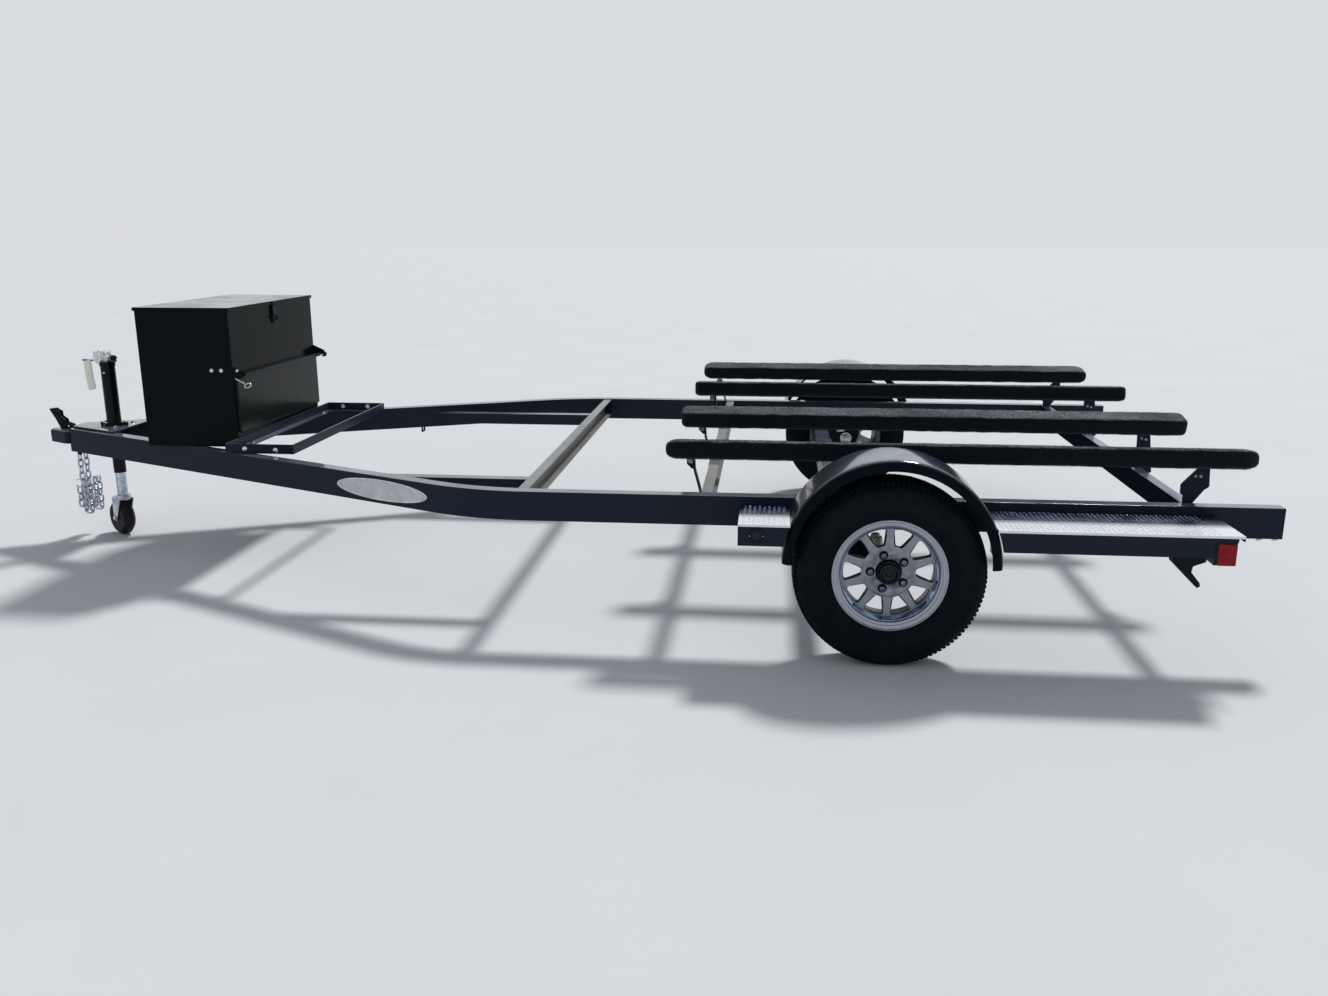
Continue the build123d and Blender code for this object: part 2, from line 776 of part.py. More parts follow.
def make_jack_tube():
    """Outer tube of the jack: mounting flange, capped top, and a narrower lower end open for the leg."""
    bore = jack_lower_radius - jack_tube_wall
    # Solid stages from the foot up: bottom, top and radius
    stages = (
        (jack_tube_bottom, jack_step_z, jack_lower_radius),
        (jack_step_z, jack_tube_top, jack_tube_radius),
        (jack_tube_top, jack_tube_top + jack_cap_height, jack_tube_radius + jack_cap_over),
    )
    with BuildPart() as tube:
        for bottom, top, radius in stages:
            with BuildSketch(Plane.XY.offset(bottom)):
                with Locations((along(jack_ahead), 0)):
                    Circle(radius)
            extrude(amount=top - bottom)
        with BuildSketch(Plane.XY.offset(rail_top + jack_plate_thick)):
            with Locations((along(jack_ahead), 0)):
                SlotCenterToCenter(2 * jack_flange_reach, jack_tube_radius)
                Circle(jack_tube_radius + jack_flange_thick)
        extrude(amount=jack_flange_thick)
        with BuildSketch(Plane.XY.offset(jack_tube_bottom)):
            with Locations((along(jack_ahead), 0)):
                Circle(bore)
        extrude(amount=jack_tube_top - jack_tube_bottom, mode=Mode.SUBTRACT)
    return tube.part


def make_jack_crank():
    """Flat crank arm over the jack's cap, with its upright knob at the rear end."""
    length = crank_front + crank_rear
    knob_back = crank_rear - crank_width / 2
    with BuildPart() as crank:
        with BuildSketch(Plane.XY):
            with Locations(((crank_front - crank_rear) / 2, 0)):
                SlotOverall(length, crank_width)
        extrude(amount=crank_thick)
        with BuildSketch(Plane.XY.offset(crank_thick)):
            with Locations((-knob_back, 0)):
                Circle(knob_radius)
        extrude(amount=knob_height)
        fillet(crank.faces().sort_by(Axis.Z)[-1].edges(), knob_radius / 2)
    return Pos(along(jack_ahead), 0, jack_tube_top + jack_cap_height) * Rot(0, 0, -crank_angle) * crank.part


def make_jack_leg():
    """Inner tube of the jack, down to the caster's swivel."""
    foot = 2 * caster_radius + fork_over_wheel + fork_crown_thick + fork_collar_height + jack_leg_gap
    with BuildPart() as leg:
        with BuildSketch(Plane.XY.offset(foot)):
            with Locations((along(jack_ahead), 0)):
                Circle(jack_leg_radius)
        extrude(amount=jack_tube_bottom + jack_leg_overlap - foot)
    return leg.part


def make_caster_fork():
    """Fork below the jack's leg, turned about the leg, with its swivel collar and the wheel's pin."""
    crown = 2 * caster_radius + fork_over_wheel
    half = caster_width / 2 + fork_play
    with BuildPart() as fork:
        with BuildSketch(Plane.XY.offset(crown)):
            with Locations((caster_trail / 2, 0)):
                SlotOverall(2 * half + 2 * fork_wall + caster_trail, 2 * half + 2 * fork_wall)
        extrude(amount=fork_crown_thick)
        with BuildSketch(Plane.XY.offset(crown + fork_crown_thick)):
            Circle(jack_leg_radius + fork_collar_over)
        extrude(amount=fork_collar_height)
        for side in (1, -1):
            with BuildSketch(Plane.XZ.offset(-side * (half + fork_wall / 2) - fork_wall / 2)):
                with BuildLine():
                    Polyline(
                        (caster_trail - 2 * caster_pin_radius, caster_radius - 2 * caster_pin_radius),
                        (caster_trail + 2 * caster_pin_radius, caster_radius - 2 * caster_pin_radius),
                        (caster_trail + half / 2, crown + fork_crown_thick / 2),
                        (-half, crown + fork_crown_thick / 2),
                        close=True,
                    )
                make_face()
            extrude(amount=fork_wall)
        with BuildSketch(Plane.XZ.offset(-half - 2 * fork_wall)):
            with Locations((caster_trail, caster_radius)):
                Circle(caster_pin_radius)
        extrude(amount=2 * (half + 2 * fork_wall))
    return Pos(along(jack_ahead), 0, 0) * Rot(0, 0, -caster_angle) * fork.part


def make_caster_wheel():
    """Solid caster wheel with bevelled shoulders and a bore for its pin."""
    half = caster_width / 2
    with BuildPart() as wheel:
        with BuildSketch(Plane.XY):
            with BuildLine():
                Polyline(
                    (caster_pin_radius + bearing_gap, -half),
                    (caster_radius - caster_shoulder, -half),
                    (caster_radius, caster_shoulder - half),
                    (caster_radius, half - caster_shoulder),
                    (caster_radius - caster_shoulder, half),
                    (caster_pin_radius + bearing_gap, half),
                    close=True,
                )
            make_face()
        revolve(axis=Axis.Y)
    swivelled = Pos(along(jack_ahead), 0, 0) * Rot(0, 0, -caster_angle)
    return swivelled * Pos(caster_trail, 0, caster_radius) * wheel.part


def make_toolbox_body():
    """Steel box, open at the top for the lid and at the lower rear for the door, with two latch ears."""
    depth = box_front_ahead - box_rear_ahead
    middle = along((box_front_ahead + box_rear_ahead) / 2)
    height = box_top - lid_height - box_bottom
    with BuildPart() as body:
        with BuildSketch(Plane.XY.offset(box_bottom)):
            with Locations((middle, 0)):
                Rectangle(depth, 2 * box_half_width)
        extrude(amount=height)
        with BuildSketch(Plane.XY.offset(box_bottom + box_wall)):
            with Locations((middle, 0)):
                Rectangle(depth - 2 * box_wall, 2 * box_half_width - 2 * box_wall)
        extrude(amount=height, mode=Mode.SUBTRACT)
        with BuildSketch(Plane.YZ.offset(along(box_rear_ahead) - 1)):
            with Locations((0, door_bottom + door_opening_margin)):
                Rectangle(
                    2 * (box_half_width - door_opening_margin),
                    door_top - door_bottom - 2 * door_opening_margin,
                    align=(Align.CENTER, Align.MIN),
                )
        extrude(amount=box_wall + 2, mode=Mode.SUBTRACT)
        for side in (1, -1):
            with BuildSketch(Plane.XZ.offset(-side * (box_half_width - box_wall / 2) - box_wall / 2)):
                with BuildLine():
                    Polyline(
                        (along(box_rear_ahead), ear_low),
                        (along(box_rear_ahead), ear_high),
                        (along(box_rear_ahead - ear_reach), (ear_low + ear_high + ear_tip) / 2),
                        (along(box_rear_ahead - ear_reach), (ear_low + ear_high - ear_tip) / 2),
                        close=True,
                    )
                make_face()
            extrude(amount=box_wall)
    return body.part


def make_toolbox_lid():
    """Shallow pan lid over the box's top."""
    depth = box_front_ahead - box_rear_ahead + 2 * lid_overhang
    middle = along((box_front_ahead + box_rear_ahead) / 2)
    with BuildPart() as lid:
        with BuildSketch(Plane.XY.offset(box_top)):
            with Locations((middle, 0)):
                Rectangle(depth, 2 * (box_half_width + lid_overhang))
        extrude(amount=-(lid_height + lid_skirt))
        with BuildSketch(Plane.XY.offset(box_top - lid_height + lid_gap)):
            with Locations((middle, 0)):
                Rectangle(depth - 2 * box_wall, 2 * (box_half_width + lid_overhang - box_wall))
        extrude(amount=-2 * lid_skirt, mode=Mode.SUBTRACT)
    return lid.part


def make_toolbox_door():
    """Drop-down door pan on the lower half of the box's rear face, with a lip along its top as handle."""
    rear = along(box_rear_ahead) - door_gap
    width = 2 * (box_half_width - door_margin)
    with BuildPart() as door:
        with BuildSketch(Plane.YZ.offset(rear)):
            with Locations((0, door_bottom)):
                Rectangle(width, door_top - door_bottom, align=(Align.CENTER, Align.MIN))
        extrude(amount=-door_thick)
        with BuildSketch(Plane.YZ.offset(rear - door_thick)):
            with Locations((0, door_top)):
                Rectangle(width, door_lip_thick, align=(Align.CENTER, Align.MAX))
        extrude(amount=door_thick - door_lip)
    return door.part


def make_rack():
    """Rectangular angle-iron rack: flanges up outside, ledges inwards at the bottom."""
    rear = rack_rear_ahead
    front = box_rear_ahead - door_gap
    middle = along((rear + front) / 2)
    depth = front - rear
    with BuildPart() as rack:
        with BuildSketch(Plane.XY.offset(rail_top)):
            with Locations((middle, 0)):
                Rectangle(depth, 2 * rack_half_width)
        extrude(amount=rack_angle)
        with BuildSketch(Plane.XY.offset(rail_top + rack_wall)):
            with Locations((middle, 0)):
                Rectangle(depth - 2 * rack_wall, 2 * (rack_half_width - rack_wall))
        extrude(amount=rack_angle, mode=Mode.SUBTRACT)
        with BuildSketch(Plane.XY.offset(rail_top)):
            with Locations((middle, 0)):
                Rectangle(depth - 2 * rack_angle, 2 * (rack_half_width - rack_angle))
        extrude(amount=rack_wall, mode=Mode.SUBTRACT)
    return rack.part


def make_tail_lamps():
    """Red corner lamp in each rear step's cut-out, hanging a little below the skirt."""
    with BuildPart() as lamps:
        for side in (1, -1):
            with BuildSketch(Plane.XY.offset(step_top_z - lamp_top_strip - lamp_gap)):
                with Locations(lamp_place(side)):
                    RectangleRounded(lamp_length - 2 * lamp_gap, lamp_width - 2 * lamp_gap, lamp_round)
            extrude(amount=lamp_top_strip + lamp_gap - step_depth - lamp_drop)
    return lamps.part


def make_marker_lamps():
    """Round side marker with a domed edge on each front step's skirt."""
    with BuildPart() as lamps:
        for side in (1, -1):
            with BuildSketch(Plane.XZ.offset(-side * step_outer_y)):
                with Locations((along(marker_ahead), step_top_z - step_depth / 2)):
                    Circle(marker_radius)
            extrude(amount=-side * marker_depth)
        chamfer(lamps.faces().sort_by(Axis.Y)[0].edges(), marker_dome)
        chamfer(lamps.faces().sort_by(Axis.Y)[-1].edges(), marker_dome)
    return lamps.part


def make_chain_tabs():
    """Upright tab with an eye under each tongue leg's front end, one for each safety chain."""
    eye = link_wire / 2 + chain_eye_play
    with BuildPart() as tabs:
        for side in (1, -1):
            with BuildSketch(Plane.XZ.offset(-side * chain_y - chain_tab_thick / 2)):
                with BuildLine():
                    Polyline(
                        (along(chain_ahead - chain_tab_back), rail_bottom),
                        (along(chain_ahead + leg_end_ahead - chain_ahead), rail_bottom),
                        (along(chain_ahead + chain_tab_half), rail_bottom - chain_eye_drop - chain_tab_half),
                        (along(chain_ahead - chain_tab_half), rail_bottom - chain_eye_drop - chain_tab_half),
                        close=True,
                    )
                make_face()
                with Locations((along(chain_ahead), rail_bottom - chain_eye_drop)):
                    Circle(eye, mode=Mode.SUBTRACT)
            extrude(amount=chain_tab_thick)
    return tabs.part


def eight_sided(half_length, half_width):
    """Eight-sided closed outline of a link."""
    cut = half_width * 0.5
    with BuildSketch() as shape:
        with BuildLine():
            Polyline(
                (half_length, half_width - cut),
                (half_length - cut, half_width),
                (cut - half_length, half_width),
                (-half_length, half_width - cut),
                (-half_length, cut - half_width),
                (cut - half_length, -half_width),
                (half_length - cut, -half_width),
                (half_length, cut - half_width),
                close=True,
            )
        make_face()
    return shape.sketch


def make_link():
    """One chain link, lying along X in the XY plane."""
    with BuildPart() as link:
        with BuildSketch(Plane.XY.offset(-link_wire / 2)):
            add(eight_sided(link_pitch / 2 + link_wire, link_inner / 2 + link_wire))
            add(eight_sided(link_pitch / 2, link_inner / 2), mode=Mode.SUBTRACT)
        extrude(amount=link_wire)
    return link.part


def make_hook():
    """Slip hook that ends a chain: an eye like a link's, and an open ring beyond it."""
    ring_at = link_pitch / 2 + link_wire / 2 + hook_radius - link_wire / 2
    with BuildPart() as hook:
        with BuildSketch(Plane.XY.offset(-link_wire / 2)):
            add(eight_sided(link_pitch / 2 + link_wire, link_inner / 2 + link_wire))
            with Locations((ring_at, 0)):
                RegularPolygon(hook_radius, 10)
            with Locations((ring_at, 0)):
                RegularPolygon(hook_throat, 10, mode=Mode.SUBTRACT)
            with Locations((ring_at, hook_radius)):
                Rectangle(hook_throat, 2 * hook_throat, mode=Mode.SUBTRACT)
            add(eight_sided(link_pitch / 2, link_inner / 2), mode=Mode.SUBTRACT)
        extrude(amount=link_wire)
    return hook.part


def make_chain(runs, side):
    """Safety chain hung from its eye, gathered up in a few strands, and ended by its hook.

    Each link's cross wires stand square to the link before, also where the chain turns a corner.
    """
    ways = {
        "down": Vector(0, 0, -1),
        "up": Vector(0, 0, 1),
        "ahead": Vector(1, 0, 0),
        "back": Vector(-1, 0, 0),
        "out": Vector(0, side, 0),
    }
    path = [ways[way] for way, count in runs for _ in range(count)]
    step = link_pitch - link_slack
    link = make_link()
    first_z = rail_bottom - chain_eye_drop - (link_wire + link_slack) / 2
    place = Vector(along(chain_ahead), side * chain_y, first_z)
    before = path[0]
    wire = Vector(0, 1, 0)
    links = []
    for number, way in enumerate(path):
        if number:
            flat = before.cross(wire)
            wire = before if abs(way.dot(flat)) > 0.5 else flat
        piece = make_hook() if number == len(path) - 1 else link
        seat = Plane(origin=place + way * (step / 2), x_dir=way, z_dir=way.cross(wire))
        links.append(seat.location * piece)
        place += way * step
        before = way
    return Compound(children=links)


def make_licence_bracket():
    """Bent arm under the left rear step that carries the licence plate."""
    skirt_bottom = step_top_z - step_depth
    with BuildPart() as bracket:
        with BuildSketch(Plane.XZ.offset(-step_outer_y)):
            with BuildLine():
                Polyline(
                    *[(along(ahead), skirt_bottom + above) for ahead, above in plate_arm_outline],
                    close=True,
                )
            make_face()
        extrude(amount=plate_arm_width)
    return bracket.part


def make_tie_ring():
    """U-shaped tie ring under the right tongue leg."""
    with BuildPart() as ring:
        with BuildSketch(Plane.YZ.offset(along(ring_ahead) - ring_bar / 2)):
            with Locations((-leg_y(ring_ahead), rail_bottom)):
                Rectangle(ring_width, ring_depth, align=(Align.CENTER, Align.MAX))
                Rectangle(
                    ring_width - 2 * ring_bar,
                    ring_depth - ring_bar,
                    align=(Align.CENTER, Align.MAX),
                    mode=Mode.SUBTRACT,
                )
        extrude(amount=ring_bar)
    return ring.part


os.makedirs("parts", exist_ok=True)

bunk_rows = (
    (bunk_outer_y, bunk_tilt),
    (bunk_inner_y, -bunk_tilt),
    (-bunk_inner_y, bunk_tilt),
    (-bunk_outer_y, -bunk_tilt),
)

write_pair(make_rail(), "rail")
write_pair(make_brace(), "brace")
for name, ahead, opens in (
    ("crossmember_front", front_cross_ahead, -1),
    ("crossmember_bunk", bunk_cross_ahead, -1),
    ("crossmember_rear", rear_cross_ahead, -1),
):
    write(make_crossmember(ahead, opens), name)
write(make_axle(), "axle_tube")
write_pair(make_arm(), "axle_arm")
write_pair(make_hub(), "hub")
write_pair(make_rim(), "rim")
write_pair(make_tyre(), "tyre")
write_pair(make_fender(), "fender")
write_pair(make_step(step_front_ahead, fender_radius - step_tuck, 0), "step_front")
write_pair(make_step(step_tuck - fender_radius, skirt_rear_ahead, step_rear_lip), "step_rear")
for name, (y, tilt) in zip(("outer_left", "inner_left", "inner_right", "outer_right"), bunk_rows):
    write(make_bunk(y, tilt), f"bunk_{name}")
write(make_front_brackets(), "bunk_brackets_front")
write(make_rear_brackets(), "bunk_brackets_rear")
write(make_coupler(), "coupler")
write(make_coupler_lever(), "coupler_lever")
write(make_jack_plate(), "jack_plate")
write(make_jack_tube(), "jack_tube")
write(make_jack_crank(), "jack_crank")
write(make_jack_leg(), "jack_leg")
write(make_caster_fork(), "caster_fork")
write(make_caster_wheel(), "caster_wheel")
write(make_tail_lamps(), "tail_lamps")
write(make_marker_lamps(), "marker_lamps")
write(make_chain_tabs(), "chain_tabs")
write(make_chain(chain_runs_left, 1), "safety_chain_left")
write(make_chain(chain_runs_right, -1), "safety_chain_right")
write(make_licence_bracket(), "licence_bracket")
write(make_tie_ring(), "tie_ring")
write(make_toolbox_body(), "toolbox_body")
write(make_toolbox_lid(), "toolbox_lid")
write(make_toolbox_door(), "toolbox_door")
write(make_rack(), "rack")
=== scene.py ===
import json
import random
from math import atan2, cos, pi, radians, sin, sqrt

import bmesh
import bpy
from mathutils import Matrix, Vector, noise


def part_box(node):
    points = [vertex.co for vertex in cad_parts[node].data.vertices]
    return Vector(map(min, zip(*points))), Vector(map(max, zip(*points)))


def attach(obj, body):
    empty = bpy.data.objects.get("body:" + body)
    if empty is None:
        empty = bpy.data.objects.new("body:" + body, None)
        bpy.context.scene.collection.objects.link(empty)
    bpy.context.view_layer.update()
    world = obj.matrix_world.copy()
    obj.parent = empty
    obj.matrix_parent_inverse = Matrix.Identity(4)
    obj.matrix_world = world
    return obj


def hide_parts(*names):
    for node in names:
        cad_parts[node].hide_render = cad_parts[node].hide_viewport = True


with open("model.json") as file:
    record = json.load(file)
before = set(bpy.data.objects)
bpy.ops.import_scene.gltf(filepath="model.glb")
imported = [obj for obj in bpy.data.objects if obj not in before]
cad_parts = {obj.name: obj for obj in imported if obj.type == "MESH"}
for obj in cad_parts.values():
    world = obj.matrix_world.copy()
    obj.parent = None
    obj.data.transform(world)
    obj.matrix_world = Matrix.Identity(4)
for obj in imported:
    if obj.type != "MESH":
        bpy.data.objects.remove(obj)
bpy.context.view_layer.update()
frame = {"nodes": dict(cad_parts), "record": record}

nodes = frame["nodes"]


# Places, in metres: X forward, Y to the trailer's left, Z up, read from the frame's own boxes

tyreLow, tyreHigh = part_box("tyre_left")
axleX, wheelY, axleZ = (tyreLow + tyreHigh) / 2
railLow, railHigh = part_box("rail_left")
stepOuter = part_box("step_front_left")[1].y
bothNames = (("left", 1), ("right", -1))


def along(ahead):  # X of a place given in metres ahead of the axle
    return axleX + ahead


def at(ahead, y, z):
    return Vector((along(ahead), y, z))


# Shapes are pairs of a point list and a face list, so that small parts can be joined before they become
# pieces

def joined(shapes):
    points, faces = [], []
    for shapePoints, shapeFaces in shapes:
        start = len(points)
        points.extend(shapePoints)
        faces.extend([tuple(start + i for i in face) for face in shapeFaces])
    return points, faces


def placed(shape, matrix):
    return [matrix @ Vector(p) for p in shape[0]], shape[1]


def shifted(shape, x, y, z):
    return placed(shape, Matrix.Translation((x, y, z)))


def flipped(faces):  # the same faces, looking the other way
    return [tuple(reversed(face)) for face in faces]


def mirrored(shape):  # the right-hand copy of a left-hand shape
    return [Vector((p[0], -p[1], p[2])) for p in shape[0]], flipped(shape[1])


def turnedTo(place, axis, spin=0.0):  # matrix that stands local Z along an axis
    turn = Vector(axis).normalized().to_track_quat("Z", "Y").to_matrix().to_4x4()
    return Matrix.Translation(Vector(place)) @ turn @ Matrix.Rotation(spin, 4, "Z")


def seatOf(first, second, third, place):  # matrix whose local axes lie along three directions
    return Matrix.Translation(place) @ Matrix((first, second, third)).transposed().to_4x4()


def band(low, high, count):  # faces between two closed rings of points that start at two numbers
    return [(low + k, low + (k + 1) % count, high + (k + 1) % count, high + k) for k in range(count)]


def grid(lines, columns):  # faces between straight rows of points
    starts = [line * (columns + 1) + column for line in range(lines) for column in range(columns)]
    return [(a, a + 1, a + columns + 2, a + columns + 1) for a in starts]


def arc(radius, start, end, steps, x=0.0, y=0.0):  # points on an arc round a centre, both ends included
    angles = [start + (end - start) * k / steps for k in range(steps + 1)]
    return [(x + radius * cos(a), y + radius * sin(a)) for a in angles]


def turned(profile, steps=64):  # profile of (radius, height) round local Z; radius 0 closes an end
    points, faces, rings = [], [], []
    for radius, height in profile:
        count = steps if radius else 1
        rings.append(range(len(points), len(points) + count))
        for x, y in arc(radius, 0, 2 * pi, steps)[:count]:
            points.append(Vector((x, y, height)))
    for ring, nextRing in zip(rings, rings[1:]):
        for step in range(steps):
            after = (step + 1) % steps
            if len(ring) == 1:
                faces.append((ring[0], nextRing[step], nextRing[after]))
            elif len(nextRing) == 1:
                faces.append((ring[step], nextRing[0], ring[after]))
            else:
                faces.append((ring[step], nextRing[step], nextRing[after], ring[after]))
    return points, faces


def rod(path, radius, sides=10, closed=False):  # round wire along a list of points
    path = [Vector(p) for p in path]
    count = len(path)
    points, faces = [], []
    side = None
    for i, place in enumerate(path):
        before = path[i - 1] if closed or i else place
        after = path[(i + 1) % count] if closed or i < count - 1 else place
        way = (after - before).normalized()
        if side is None:
            side = way.orthogonal().normalized()
        side = (side - way * side.dot(way)).normalized()
        up = way.cross(side)
        thick = radius[i] if isinstance(radius, list) else radius
        for x, y in arc(thick, 0, 2 * pi, sides)[:sides]:
            points.append(place + side * x + up * y)
    for i in range(count if closed else count - 1):
        faces += band(i * sides, (i + 1) % count * sides, sides)
    if not closed:
        faces.append(tuple(reversed(range(sides))))
        faces.append(tuple(range((count - 1) * sides, count * sides)))
    return points, faces


def softened(shape, width, steps=2, thin=0.0):  # rounds the edges that are sharper than 28 degrees
    mesh = bmesh.new()
    for point in shape[0]:
        mesh.verts.new(point)
    mesh.verts.ensure_lookup_table()
    for face in shape[1]:
        try:
            mesh.faces.new([mesh.verts[i] for i in face])
        except ValueError:  # the same face twice
            continue
    bmesh.ops.remove_doubles(mesh, verts=mesh.verts, dist=0.00001)
    if thin:
        bmesh.ops.dissolve_limit(mesh, angle_limit=radians(thin), verts=mesh.verts, edges=mesh.edges)
    bmesh.ops.recalc_face_normals(mesh, faces=mesh.faces)
    if width:
        sharp = [e for e in mesh.edges if len(e.link_faces) == 2 and e.calc_face_angle(0) > radians(28)]
        bmesh.ops.bevel(
            mesh, geom=sharp, offset=width, offset_type="OFFSET", segments=steps, profile=0.5,
            affect="EDGES", clamp_overlap=True,
        )
    mesh.verts.index_update()
    points = [v.co.copy() for v in mesh.verts]
    faces = [tuple(v.index for v in f.verts) for f in mesh.faces]
    mesh.free()
    return points, faces


def slab(outline, thick, width, steps=2):  # outline of (x, y) made thick upwards from local Z 0
    count = len(outline)
    points = [Vector((x, y, z)) for z in (0, thick) for x, y in outline]
    faces = [tuple(reversed(range(count))), tuple(range(count, 2 * count)), *band(0, count, count)]
    return softened((points, faces), width, steps)


def block(low, high, width, steps=2):
    low, high = Vector(low), Vector(high)
    outline = [(low.x, low.y), (high.x, low.y), (high.x, high.y), (low.x, high.y)]
    return shifted(slab(outline, high.z - low.z, width, steps), 0, 0, low.z)


def rounded(corners, radius, steps=4):  # closed outline with each corner turned into a short arc
    outline = []
    count = len(corners)
    for i in range(count):
        before, corner, after = (Vector(corners[(i + k) % count]) for k in (-1, 0, 1))
        inward, onward = (before - corner).normalized(), (after - corner).normalized()
        reach = min(radius, (before - corner).length * 0.45, (after - corner).length * 0.45)
        for k in range(steps + 1):
            share = k / steps
            first = corner + inward * reach * (1 - share)
            outline.append(tuple(first.lerp(corner + onward * reach * share, share)))
    return outline


def pierced(outlines, thick, bevel):  # flat plate with holes: the first outline is its edge
    curve = bpy.data.curves.new("plateOutline", "CURVE")
    curve.dimensions = "2D"
    curve.fill_mode = "BOTH"
    curve.extrude = thick / 2 - bevel
    curve.bevel_depth = bevel
    curve.bevel_resolution = 1
    curve.offset = -bevel
    for outline in outlines:
        spline = curve.splines.new("POLY")
        spline.points.add(len(outline) - 1)
        for point, (x, y) in zip(spline.points, outline):
            point.co = (x, y, 0, 1)
        spline.use_cyclic_u = True
    holder = bpy.data.objects.new("plateOutline", curve)
    bpy.context.scene.collection.objects.link(holder)
    mesh = bpy.data.meshes.new_from_object(holder)
    points = [v.co + Vector((0, 0, thick / 2)) for v in mesh.vertices]
    faces = [tuple(p.vertices) for p in mesh.polygons]
    bpy.data.objects.remove(holder)
    bpy.data.curves.remove(curve)
    bpy.data.meshes.remove(mesh)
    return points, faces


def hexBolt(place, axis, across=0.013, high=0.006, washer=0.0115, spin=0.2):  # head with a washer under it
    corner = across * 0.577
    head = turned([(0, high), (across * 0.46, high), (corner, high * 0.72), (corner, 0.0012)], 6)
    disc = turned([(washer, 0.0016), (washer, 0), (0, 0)], 20)
    dome = turned([(0, 0.0017), (washer, 0.0016)], 20)
    return placed(joined([head, disc, dome]), turnedTo(place, axis, spin))


def roundBolt(place, axis, radius, high):  # domed carriage bolt head
    dome = [(0, high), (radius * 0.5, high * 0.87), (radius * 0.85, high * 0.5)]
    return placed(turned([*dome, (radius, 0.0003), (radius, 0)], 18), turnedTo(place, axis))


def weldBead(start, end, radius, seed, ripple=0.006):  # rippled fillet of weld along a joint
    start, end = Vector(start), Vector(end)
    count = max(6, int((end - start).length / ripple * 2))
    chance = random.Random(seed)
    thick = [radius * (1.08 if i % 2 else 0.86) * (0.94 + 0.12 * chance.random()) for i in range(count + 1)]
    return rod([start.lerp(end, i / count) for i in range(count + 1)], thick, 8)


def makePiece(name, shape, finish, smooth=35, body="chassis", stands=(), even=True):
    mesh = bpy.data.meshes.new(name)
    mesh.from_pydata([tuple(p) for p in shape[0]], [], shape[1])
    mesh.validate()
    mesh.materials.append(finishes[finish])
    for polygon in mesh.polygons:
        polygon.use_smooth = True
    mesh.set_sharp_from_angle(angle=radians(smooth))
    piece = bpy.data.objects.new(name, mesh)
    bpy.context.scene.collection.objects.link(piece)
    if even:  # flat faces stay flat beside their rounded edges
        weighted = piece.modifiers.new("evenShading", "WEIGHTED_NORMAL")
        weighted.keep_sharp = True
    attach(piece, body)
    if stands:
        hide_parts(*stands)
    return piece


def bothSides(name, shape, finish, stands=None, smooth=35):
    for side, made in (("left", shape), ("right", mirrored(shape))):
        standsFor = (f"{stands}_{side}",) if stands else ()
        makePiece(f"{name}.{side}", made, finish, smooth, stands=standsFor)


# Materials, all made of nodes

def newFinish(name):
    finish = bpy.data.materials.new(name)
    finish.use_nodes = True
    return finish, finish.node_tree, finish.node_tree.nodes["Principled BSDF"]


def feed(tree, node, inputs):  # links another node's result to a socket, or sets the socket's own value
    for key, value in inputs.items():
        if isinstance(value, bpy.types.NodeSocket):
            tree.links.new(value, node.inputs[key])
        else:
            node.inputs[key].default_value = value


def addNode(tree, kind, inputs, **settings):
    node = tree.nodes.new(kind)
    for key, value in settings.items():
        setattr(node, key, value)
    feed(tree, node, inputs)
    return node


def ownPlace(tree):  # coordinates that stay with the piece
    return addNode(tree, "ShaderNodeTexCoord", {}).outputs["Object"]


def grain(tree, scale, detail=3.0, rough=0.55, stretch=(1, 1, 1), distortion=0.0):
    mapping = addNode(tree, "ShaderNodeMapping", {"Vector": ownPlace(tree), "Scale": stretch})
    return addNode(tree, "ShaderNodeTexNoise", {
        "Vector": mapping.outputs[0], "Scale": scale, "Detail": detail, "Roughness": rough,
        "Distortion": distortion}).outputs["Fac"]


def ranged(tree, value, low, high, fromLow=0.35, fromHigh=0.65):
    return addNode(tree, "ShaderNodeMapRange", {
        "Value": value, "From Min": fromLow, "From Max": fromHigh, "To Min": low, "To Max": high}).outputs[0]


def blended(tree, share, first, second):  # colours are three numbers or another node's result
    colours = {i: (*c, 1) if isinstance(c, tuple) else c for i, c in ((6, first), (7, second))}
    return addNode(tree, "ShaderNodeMix", {0: share, **colours}, data_type="RGBA").outputs[2]


def maths(tree, operation, *values):
    return addNode(tree, "ShaderNodeMath", dict(enumerate(values)), operation=operation).outputs[0]


def times(tree, first, second):
    return maths(tree, "MULTIPLY", first, second)


def plus(tree, first, second):
    return maths(tree, "ADD", first, second)


def bumped(tree, height, distance):
    inputs = {"Height": height, "Distance": distance, "Strength": 1.0}
    return addNode(tree, "ShaderNodeBump", inputs).outputs[0]


def uneven(tree, rough, scale, detail=3.0):  # roughness that wanders between two values
    return ranged(tree, grain(tree, scale, detail), *rough, 0.3, 0.7)


def facingWay(tree, axis):  # part of the surface's own direction along X, Y or Z
    normal = addNode(tree, "ShaderNodeNewGeometry", {}).outputs["Normal"]
    return addNode(tree, "ShaderNodeSeparateXYZ", {0: normal}).outputs[axis]


def facingUp(tree, start=0.55, full=0.95):  # 1 on level tops, 0 on sides and undersides
    return ranged(tree, facingWay(tree, "Z"), 0.0, 1.0, start, full)
